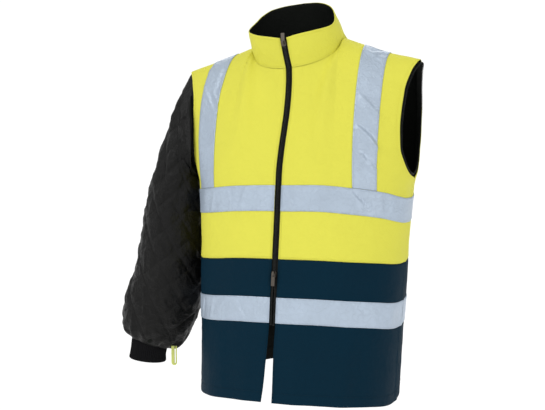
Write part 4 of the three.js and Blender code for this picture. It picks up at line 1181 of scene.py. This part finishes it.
def zip_teeth(side, material):
    """One side of the coil: bars that reach past the middle between those of the other side."""
    base, normal, relief = zip_grid(side, [TEETH["middle"]])
    line = (base + normal * (relief + TEETH["rise"])[..., None])[:, 0]
    places, along, normals = resample(line, normal[:, 0], TEETH["pitch"])
    if side > 0:
        places = places + along * TEETH["pitch"] / 2
    across = unit(np.cross(along, normals))
    points, faces = beads(places, across, normals, TEETH["reach"], TEETH["width"], TEETH["height"], 4, 6)
    piece = write_mesh("zip_coil_right" if side < 0 else "zip_coil_left", points, faces, None, [material])
    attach(piece, "garment")
    return piece


# Elastic loop.

# The loop's upper end, its length, the widths of the leg seen flat and of the one seen on edge, the slot
# between them and its thickness, and how square its section is.
LOOP = {"x": -275, "y": -28, "z": -647, "length": 44, "near": 7.2, "far": 2.8, "slot": 2.0, "thick": 2}
LOOP_SQUARE = (0.4, 0.7)


def loop_shape():
    """Rings of points along the elastic: down one leg, round the bottom and up the other."""
    left = -(LOOP["slot"] + LOOP["near"]) / 2
    right = (LOOP["slot"] + LOOP["far"]) / 2
    middle = (left + right) / 2
    radius = (right - left) / 2
    straight = LOOP["length"] - radius - LOOP["near"] / 2
    down = [(left, -z, 0.0) for z in np.linspace(0, straight, 16, endpoint=False)]
    angles = np.linspace(0, math.pi, 13)
    bend = [(middle - radius * math.cos(a), -straight - radius * math.sin(a), a) for a in angles]
    up = [(right, -z, math.pi) for z in np.linspace(straight, 0, 17)[1:]]
    rings = []
    for x, z, turned in down + bend + up:
        leg = LOOP["near"] + (LOOP["far"] - LOOP["near"]) * float(smooth(turned / math.pi))
        ring = []
        for k in range(16):
            angle = 2 * math.pi * k / 16
            wide, high = math.cos(angle), math.sin(angle)
            flat = abs(wide) ** LOOP_SQUARE[0] * math.copysign(1, wide) * leg / 2
            deep = abs(high) ** LOOP_SQUARE[1] * math.copysign(1, high) * LOOP["thick"] / 2
            ring.append((x + flat * math.cos(turned), z + flat * math.sin(turned), deep))
        rings.append(ring)
    rings = np.array(rings)
    across = np.array((math.cos(VIEW_TURN), math.sin(VIEW_TURN), 0))
    out = np.array((math.sin(VIEW_TURN), -math.cos(VIEW_TURN), 0))
    up_axis = np.array((0, 0, 1.0))
    start = np.array((LOOP["x"], LOOP["y"], LOOP["z"]), float)
    return start + rings[..., :1] * across + rings[..., 1:2] * up_axis + rings[..., 2:] * out


# The add-on's settings, operators and panel.


def colour_setting(name, description, value):
    """Colour that a user can change in the panel."""
    return FloatVectorProperty(
        name=name, description=description, subtype="COLOR", size=3, min=0, max=1, default=value
    )


class BodywarmerSettings(bpy.types.PropertyGroup):
    """Sizes and colours that a user would change."""

    yellow: colour_setting("Yellow", "Colour of the high-visibility shell", (0.73, 0.705, 0.085))
    navy: colour_setting("Navy", "Colour of the shell below the waist seam", (0.002, 0.0185, 0.035))
    silver: colour_setting("Tape", "Colour of the reflective tape", (0.42, 0.50, 0.60))
    lining: colour_setting("Lining", "Colour of the body's inside", (0.006, 0.007, 0.006))
    nylon: colour_setting("Sleeve", "Colour of the quilted sleeve", (0.004, 0.004, 0.0038))
    knit: colour_setting("Cuff", "Colour of the rib knit", (0.008, 0.008, 0.009))
    elastic: colour_setting("Elastic", "Colour of the loop at the sleeve's hem", (0.66, 0.72, 0.20))
    zip_colour: colour_setting("Zip", "Colour of the zip's tape and coil", (0.007, 0.008, 0.007))
    metal: colour_setting("Metal", "Colour of the sliders and pulls", (0.10, 0.088, 0.075))
    body_step: FloatProperty(
        name="Body mesh step", description="Spacing of the points on the body's panels",
        default=0.003, min=0.002, max=0.02, unit="LENGTH",
    )
    tape_step: FloatProperty(
        name="Tape mesh step", description="Spacing of the points on the tapes",
        default=0.0022, min=0.0015, max=0.02, unit="LENGTH",
    )
    sleeve_columns: IntProperty(
        name="Sleeve columns", description="Points round the quilted sleeve", default=176, min=84, max=336
    )
    camera_distance: FloatProperty(
        name="Camera distance", description="From the camera to the middle of the view",
        default=2.03, min=0.5, max=10, unit="LENGTH",
    )


def settings():
    """The scene's settings of the bodywarmer."""
    return bpy.context.scene.bodywarmer


FINISHES = {}


def finish_of(name):
    """Finish of that name, made with all the others the first time one is asked for."""
    if not FINISHES:
        FINISHES.update(make_materials(settings()))
    return FINISHES[name]


def declare(base, ring=False):
    """Takes a sheet's plain form and, for a ring, closes it with its first column; the result is not kept."""
    if ring:
        base = np.concatenate([base, base[:, :1]], 1)


class BODYWARMER_OT_shell(bpy.types.Operator):
    """Sew the yellow and navy panels of the fronts and the back"""

    bl_idname = "bodywarmer.shell"
    bl_label = "Shell panels"

    def execute(self, context):
        step = settings().body_step / MM
        parts = {"upper": (0, COLOUR_CHANGE, "yellow_oxford"), "lower": (COLOUR_CHANGE, HEM, "navy_oxford")}
        for part, (top, bottom, slot) in parts.items():
            for place, surface in body_panels(top, bottom, step).items():
                name = f"{place}_{part}_panel"
                piece = layered(name, surface, "shell", finish_of(slot), finish_of("black_lining"))
                settle(piece, name)
                declare(surface.base)
        return {"FINISHED"}


class BODYWARMER_OT_lining(bpy.types.Operator):
    """Line the back with black cloth"""

    bl_idname = "bodywarmer.lining"
    bl_label = "Back lining"

    def execute(self, context):
        surface = back_surface(0, HEM, 1.5 * settings().body_step / MM)
        piece = layered("back_lining", surface, "lining", finish_of("black_lining"))
        settle(piece, "back_lining")
        declare(surface.base)
        return {"FINISHED"}


class BODYWARMER_OT_tapes(bpy.types.Operator):
    """Sew on the two reflective hoops and the two braces over the shoulders"""

    bl_idname = "bodywarmer.tapes"
    bl_label = "Reflective tapes"

    def execute(self, context):
        step = settings().tape_step / MM
        for hoop, (top, bottom) in {"chest": CHEST_BAND, "hip": HIP_BAND}.items():
            for place, surface in body_panels(top, bottom, step, True).items():
                name = f"{hoop}_tape_{place}"
                piece = layered(name, surface, "tape", finish_of("reflective_tape"))
                settle(piece, name)
                declare(surface.base)
        for side, place in ((-1, "right"), (1, "left")):
            self.brace(side, place, step)
        return {"FINISHED"}

    def brace(self, side, place, step):
        """One brace, from the chest hoop behind, over the shoulder, to the chest hoop in front."""
        level = levels_between(0, CHEST_BAND[0], step)
        halves = []
        for face in (1, -1):
            inner = share_at_x(face, side, BRACE_INNER[side](level), level)
            outer = share_at_x(face, side, BRACE_OUTER[side](level), level)
            halves.append(Surface(face, side * between(inner, outer, BRACE_WIDTH, step), level, True))
        behind, before = halves
        over = lambda a, b: np.concatenate([a[::-1], b])
        base = over(behind.base, before.base)
        normal = over(behind.normal, before.normal)
        relief = over(behind.relief, before.relief)
        outer, inner = (
            base + normal * (relief + height)[..., None] for height in two_faces("tape", relief.shape)
        )
        name = f"brace_tape_{place}"
        piece = settle(cloth(name, outer, inner, finish_of("reflective_tape")), name)
        declare(base)


class BODYWARMER_OT_collar(bpy.types.Operator):
    """Stand the collar up round the neck, with its lining"""

    bl_idname = "bodywarmer.collar"
    bl_label = "Collar"

    def execute(self, context):
        outer = Collar(REVEAL, 40, 110, COLLAR_FOOT["outer"])
        lining = Collar(FACING, 24, 70, COLLAR_FOOT["lining"])
        self.make("collar_outer", "shell", outer, "yellow_oxford")
        self.make("collar_lining", "lining", lining, "black_lining")
        return {"FINISHED"}

    def make(self, name, layer, collar, slot):
        """One layer of the collar, which stands on the two fronts."""
        outer, inner = two_faces(layer, collar.base.shape[:2])
        piece = cloth(name, collar.at(outer), collar.at(inner), finish_of(slot))
        settle(piece, name)
        declare(collar.base)


class BODYWARMER_OT_zip(bpy.types.Operator):
    """Lay the zip's tapes and coil, and finish its sliders and pulls"""

    bl_idname = "bodywarmer.zip"
    bl_label = "Front zip"

    def execute(self, context):
        for side in (-1, 1):
            zip_tape(side, finish_of("zip_tape"))
            zip_teeth(side, finish_of("zip_coil"))
        for name in ("upper_slider", "upper_pull_tab", "lower_slider", "lower_pull_tab"):
            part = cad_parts[name]
            part.data.materials.clear()
            part.data.materials.append(finish_of("zip_metal"))
        return {"FINISHED"}


# Tape of the bare armhole: its reach into the hole and its depth behind the facing, each from the covered
# edge to the free one, and where its coil lies and how long a turn is.
ARMHOLE_TAPE = {"columns": 220, "rows": 8, "widths": (-6, 5), "dips": (3.3, 0.8)}
ARMHOLE_COIL = {"at": 5.6, "dip": 0.9, "reach": 2.6}


class BODYWARMER_OT_armhole_zip(bpy.types.Operator):
    """Sew the zip tape for the other sleeve inside the bare armhole"""

    bl_idname = "bodywarmer.armhole_zip"
    bl_label = "Armhole zip tape"

    def execute(self, context):
        point, normal, into = armhole_loop(1, ARMHOLE_TAPE["columns"])
        front, back = LAYERS["facing"]
        widths = np.linspace(*ARMHOLE_TAPE["widths"], ARMHOLE_TAPE["rows"])
        dips = np.linspace(*ARMHOLE_TAPE["dips"], ARMHOLE_TAPE["rows"])
        outer, inner = (
            np.stack([point + into * width + normal * (face - dip) for width, dip in zip(widths, dips)])
            for face in (front, back)
        )
        piece = cloth("armhole_zip_tape", outer, inner, finish_of("zip_tape"), ring=True)
        settle(piece, "armhole_zip_tape")
        edge = point + into * ARMHOLE_COIL["at"] + normal * (front - ARMHOLE_COIL["dip"])
        closed = np.concatenate([edge, edge[:1]])
        turned = np.concatenate([normal, normal[:1]])
        places, along, normals = resample(closed, turned, TEETH["pitch"])
        across = unit(np.cross(along, normals))
        reach = ARMHOLE_COIL["reach"]
        points, faces = beads(places, across, normals, reach, TEETH["width"], TEETH["height"], 4, 6)
        coil = write_mesh("armhole_zip_coil", points, faces, None, [finish_of("zip_coil")])
        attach(coil, "garment")
        return {"FINISHED"}


class BODYWARMER_OT_sleeve(bpy.types.Operator):
    """Quilt the sleeve and gather its hem"""

    bl_idname = "bodywarmer.sleeve"
    bl_label = "Quilted sleeve"

    def execute(self, context):
        base, normal, height = sleeve_shape(settings().sleeve_columns)
        outside, inside = finish_of("quilted_nylon"), finish_of("black_lining")
        piece = tube_piece("quilted_sleeve", base, normal, height, SLEEVE_WALL, outside, inside)
        settle(piece, "quilted_sleeve")
        declare(base, ring=True)
        return {"FINISHED"}


class BODYWARMER_OT_cuff(bpy.types.Operator):
    """Knit the ribbed cuff"""

    bl_idname = "bodywarmer.cuff"
    bl_label = "Rib cuff"

    def execute(self, context):
        path = TubePath(CUFF)
        columns = CUFF_RIBS["count"] * CUFF_RIBS["columns"]
        d = np.linspace(0, path.length, CUFF_RIBS["rows"])[:, None]
        turn = np.arange(columns)[None, :] / columns
        base, _ = path.ring(d, turn)
        normal = ring_normals(base)
        wave = np.abs(np.cos(np.pi * CUFF_RIBS["count"] * turn))
        rib = wave ** CUFF_RIBS["square"] * CUFF_RIBS["height"]
        height = np.broadcast_to(rib, base.shape[:2]) + noise(base, (14, 14, 18), 31) * 0.6
        piece = tube_piece("rib_cuff", base, normal, height, CUFF_RIBS["wall"], finish_of("rib_knit"))
        settle(piece, "rib_cuff")
        declare(base, ring=True)
        return {"FINISHED"}


class BODYWARMER_OT_loop(bpy.types.Operator):
    """Hang the elastic loop from the sleeve's hem"""

    bl_idname = "bodywarmer.loop"
    bl_label = "Elastic loop"

    def execute(self, context):
        rings = loop_shape()
        rows, columns = rings.shape[:2]
        points = rings.reshape(-1, 3)
        middles = rings[[0, -1]].mean(1)
        faces = grid_faces(rows, columns, True)
        start = rows * columns
        k = np.arange(columns)
        nxt = (k + 1) % columns
        last = (rows - 1) * columns
        triangles = np.concatenate([
            np.stack([nxt, k, np.full(columns, start)], -1),
            np.stack([last + k, last + nxt, np.full(columns, start + 1)], -1),
        ])
        points = np.concatenate([points, middles])
        mesh = bpy.data.meshes.new("elastic_loop")
        mesh.from_pydata((points * MM).tolist(), [], faces.tolist() + triangles.tolist())
        mesh.validate()
        mesh.polygons.foreach_set("use_smooth", [True] * len(mesh.polygons))
        mesh.materials.append(finish_of("yellow_elastic"))
        layer = mesh.uv_layers.new(name="cloth")
        along = arc_lengths(rings, 0)
        around = arc_lengths(rings, 1)
        places = np.concatenate([np.stack([around, along], -1).reshape(-1, 2), np.zeros((2, 2))]) * MM
        corner = np.zeros(len(mesh.loops), np.int32)
        mesh.loops.foreach_get("vertex_index", corner)
        layer.uv.foreach_set("vector", places[corner].astype(np.float32).ravel())
        piece = bpy.data.objects.new("elastic_loop", mesh)
        bpy.context.scene.collection.objects.link(piece)
        settle(piece, "elastic_loop")
        return {"FINISHED"}


# Rows of sewing: in from a tape's edge, from the zip line, up from the hem, in from the armhole, above the
# colour change, and the heights of the collar's two rows as shares of its own.
EDGE_ROW = 2.5
FLANGE_ROW = 10.5
HEM_ROW = 20
ARMHOLE_ROW = 7
COLOUR_ROW = 4
COLLAR_ROWS = (0.05, 0.92)

# How far a row across a front stays from its edge, and the points of a row on a front and on the back.
ROW_MARGIN = 1.5
ROW_POINTS = {"front": 120, "back": 240}


class BODYWARMER_OT_sewing(bpy.types.Operator):
    """Run the rows of stitches along the tapes, fronts, hem, armholes, seams and collar"""

    bl_idname = "bodywarmer.sewing"
    bl_label = "Sewing"

    def execute(self, context):
        chest, hip = CHEST_BAND, HIP_BAND
        silver = self.tape_lines() + self.beside_zip(*chest, True) + self.beside_zip(*hip, True)
        yellow = self.beside_zip(-3, chest[0]) + self.beside_zip(chest[1], COLOUR_CHANGE)
        yellow += self.yellow_lines() + self.collar_lines()
        navy = self.beside_zip(COLOUR_CHANGE, hip[0]) + self.beside_zip(hip[1], HEM + 2) + self.hem_lines()
        stitches("tape_stitches", silver, finish_of("silver_thread"))
        stitches("yellow_stitches", yellow, finish_of("yellow_thread"))
        stitches("navy_stitches", navy, finish_of("navy_thread"))
        return {"FINISHED"}

    def across(self, face, level, height, taped=False):
        """Row of sewing across one face at a level."""
        one = np.array([float(level)])
        end = panel_end(face, one)[0]
        if face > 0:
            count = ROW_POINTS["back"]
            return [line_on(1, np.linspace(-end, end, count), np.full(count, one[0]), height)]
        count = ROW_POINTS["front"]
        lines = []
        for side in (-1, 1):
            start = share_from_zip(side, OPENING_EDGE[side](one) + ROW_MARGIN, one)[0]
            s = side * np.linspace(start, end, count)
            lines.append(line_on(-1, s, np.full(count, one[0]), height, taped))
        return lines

    def tape_lines(self):
        """Rows along both edges of the hoops and the braces."""
        top_of_tape = LAYERS["tape"][0]
        lines = []
        for top, bottom in (CHEST_BAND, HIP_BAND):
            for level in (top - EDGE_ROW, bottom + EDGE_ROW):
                lines += self.across(-1, level, top_of_tape, True) + self.across(1, level, top_of_tape)
        level = np.linspace(-2, CHEST_BAND[0], 130)
        for side in (-1, 1):
            for face in (-1, 1):
                for edge, into in ((BRACE_INNER, EDGE_ROW), (BRACE_OUTER, -EDGE_ROW)):
                    s = side * share_at_x(face, side, edge[side](level) + into, level)
                    lines.append(line_on(face, s, level, top_of_tape, True))
        return lines

    def beside_zip(self, top, bottom, taped=False):
        """Row beside the zip on each front between two levels, on the shell or on a band's tape."""
        lines = []
        level = np.linspace(top, bottom, max(int((top - bottom) / 3), 8))
        for side in (-1, 1):
            s = side * share_from_zip(side, OPENING_EDGE[side](level) + FLANGE_ROW - REVEAL, level)
            lines.append(line_on(-1, s, level, LAYERS["tape"][0] if taped else 0, taped))
        return lines

    def yellow_lines(self):
        """Row above the colour change, and rows round both armholes."""
        seam = COLOUR_CHANGE + COLOUR_ROW
        lines = self.across(-1, seam, 0) + self.across(1, seam, 0)
        level = np.linspace(-4, ARMHOLE_BOTTOM + 2, 120)
        for side in (-1, 1):
            for face in (-1, 1):
                s = side * (ARMHOLE_SHARE[face](level) - ARMHOLE_ROW / HALF(level))
                lines.append(line_on(face, s, level, 0))
        return lines

    def hem_lines(self):
        return self.across(-1, HEM + HEM_ROW, 0) + self.across(1, HEM + HEM_ROW, 0)

    def collar_lines(self):
        """Two rows round the collar, and one up each of its front edges."""
        lines = []
        for t in COLLAR_ROWS:
            row = Collar(FLANGE_ROW, 1, 160, t, t)
            lines.append((row.at(STITCH["lift"])[0], row.normal[0]))
        t = np.linspace(0.03, COLLAR_ROWS[1], 30)
        for side in (-1, 1):
            q = collar_from_zip(side, FLANGE_ROW, t)
            point = collar_point(side, q, t)
            normal = collar_normal(side, q, t)
            height = collar_relief(point, q, t) + STITCH["lift"]
            lines.append((point + normal * height[:, None], normal))
        return lines


# Camera: turned to the wearer's left and raised by some degrees, aimed at the middle of the view.
CAMERA = {"rise": 8.3, "aim": (-0.059, 0.0, -0.331), "lens": 65.06, "sensor": 36.0, "far": 60}

# Lights: the direction that each comes from and its strength. Surroundings: how bright they light and how
# bright they are seen. Floor: its depth below the shoulders, its half width and its own glow.
LIGHTS = {
    "key_light": ((-0.55, -1.0, 0.85), 1.25),
    "fill_light": ((1.0, -0.55, 0.45), 0.72),
    "back_light": ((-0.3, 1.0, 0.7), 0.9),
}
LIGHT_ANGLE = math.radians(50)
BACKDROP = {"lighting": 0.55, "seen": 1.05}
FLOOR = {"drop": 1.45, "half": 14, "glow": 0.14, "white": (0.9, 0.9, 0.9)}


class BODYWARMER_OT_studio(bpy.types.Operator):
    """Set the camera, the soft lights and the pale floor"""

    bl_idname = "bodywarmer.studio"
    bl_label = "Studio"

    def execute(self, context):
        self.camera(context)
        self.floor()
        self.world(context)
        for name, (toward, strength) in LIGHTS.items():
            self.sun(name, toward, strength)
        context.scene.view_settings.view_transform = "Standard"
        return {"FINISHED"}

    def camera(self, context):
        data = bpy.data.cameras.new("view_camera")
        data.lens = CAMERA["lens"]
        data.sensor_width = CAMERA["sensor"]
        data.clip_end = CAMERA["far"]
        camera = bpy.data.objects.new("view_camera", data)
        rise = math.radians(CAMERA["rise"])
        flat = math.cos(rise)
        back = Vector((math.sin(VIEW_TURN) * flat, -math.cos(VIEW_TURN) * flat, math.sin(rise)))
        camera.location = Vector(CAMERA["aim"]) + back * settings().camera_distance
        camera.rotation_euler = back.to_track_quat("Z", "Y").to_euler()
        context.scene.collection.objects.link(camera)
        context.scene.camera = camera

    def floor(self):
        """Floor that the wearer would stand on, wide enough to reach the view's horizon."""
        half = FLOOR["half"]
        corners = ((-half, -half), (half, -half), (half, half), (-half, half))
        points = np.array([(x, y, -FLOOR["drop"]) for x, y in corners])
        material, tree, shader = start_material("studio_floor", 0.8, Emission_Strength=FLOOR["glow"])
        mottle = group_node(tree, "cloth_mottle", Patch=0.6, Grain=30.0)
        colour = tinted(tree, mottle["Patches"], FLOOR["white"], 0.98, 1.02)
        tree.links.new(colour, shader.inputs["Base Color"])
        floor = write_mesh("studio_floor", points / MM, np.array([[0, 1, 2, 3]]), None, [material])

    def world(self, context):
        """White surroundings, seen brighter than they light, as behind an even studio backdrop."""
        world = bpy.data.worlds.new("studio_world")
        world.use_nodes = True
        tree = world.node_tree
        sky = tree.nodes["Background"]
        sky.inputs[0].default_value = (1, 1, 1, 1)
        seen = tree.nodes.new("ShaderNodeLightPath").outputs["Is Camera Ray"]
        shades = {0: seen, 3: BACKDROP["lighting"], 4: BACKDROP["seen"]}
        tree.links.new(node(tree, "ShaderNodeMapRange", shades).outputs[0], sky.inputs[1])
        context.scene.world = world

    def sun(self, name, toward, strength):
        """Wide soft light from one direction, even over the object and the floor."""
        data = bpy.data.lights.new(name, "SUN")
        data.energy = strength
        data.angle = LIGHT_ANGLE
        lamp = bpy.data.objects.new(name, data)
        lamp.location = Vector(toward) * 3
        lamp.rotation_euler = Vector(toward).to_track_quat("Z", "Y").to_euler()
        bpy.context.scene.collection.objects.link(lamp)


OPERATORS = (
    BODYWARMER_OT_studio,
    BODYWARMER_OT_shell,
    BODYWARMER_OT_lining,
    BODYWARMER_OT_tapes,
    BODYWARMER_OT_collar,
    BODYWARMER_OT_zip,
    BODYWARMER_OT_armhole_zip,
    BODYWARMER_OT_sleeve,
    BODYWARMER_OT_cuff,
    BODYWARMER_OT_loop,
    BODYWARMER_OT_sewing,
)


class BODYWARMER_PT_sidebar(bpy.types.Panel):
    """Settings and pieces of the bodywarmer"""

    bl_label = "Bodywarmer"
    bl_idname = "BODYWARMER_PT_sidebar"
    bl_space_type = "VIEW_3D"
    bl_region_type = "UI"
    bl_category = "Bodywarmer"

    def draw(self, context):
        layout = self.layout
        for name in BodywarmerSettings.__annotations__:
            layout.prop(context.scene.bodywarmer, name)
        for operator in OPERATORS:
            layout.operator(operator.bl_idname)


CLASSES = (BodywarmerSettings, *OPERATORS, BODYWARMER_PT_sidebar)


def register():
    for cls in CLASSES:
        bpy.utils.register_class(cls)
    bpy.types.Scene.bodywarmer = PointerProperty(type=BodywarmerSettings)


def unregister():
    del bpy.types.Scene.bodywarmer
    for cls in reversed(CLASSES):
        bpy.utils.unregister_class(cls)


def main():
    register()
    for operator in OPERATORS:
        group, name = operator.bl_idname.split(".")
        getattr(getattr(bpy.ops, group), name)()


if __name__ == "__main__":
    main()
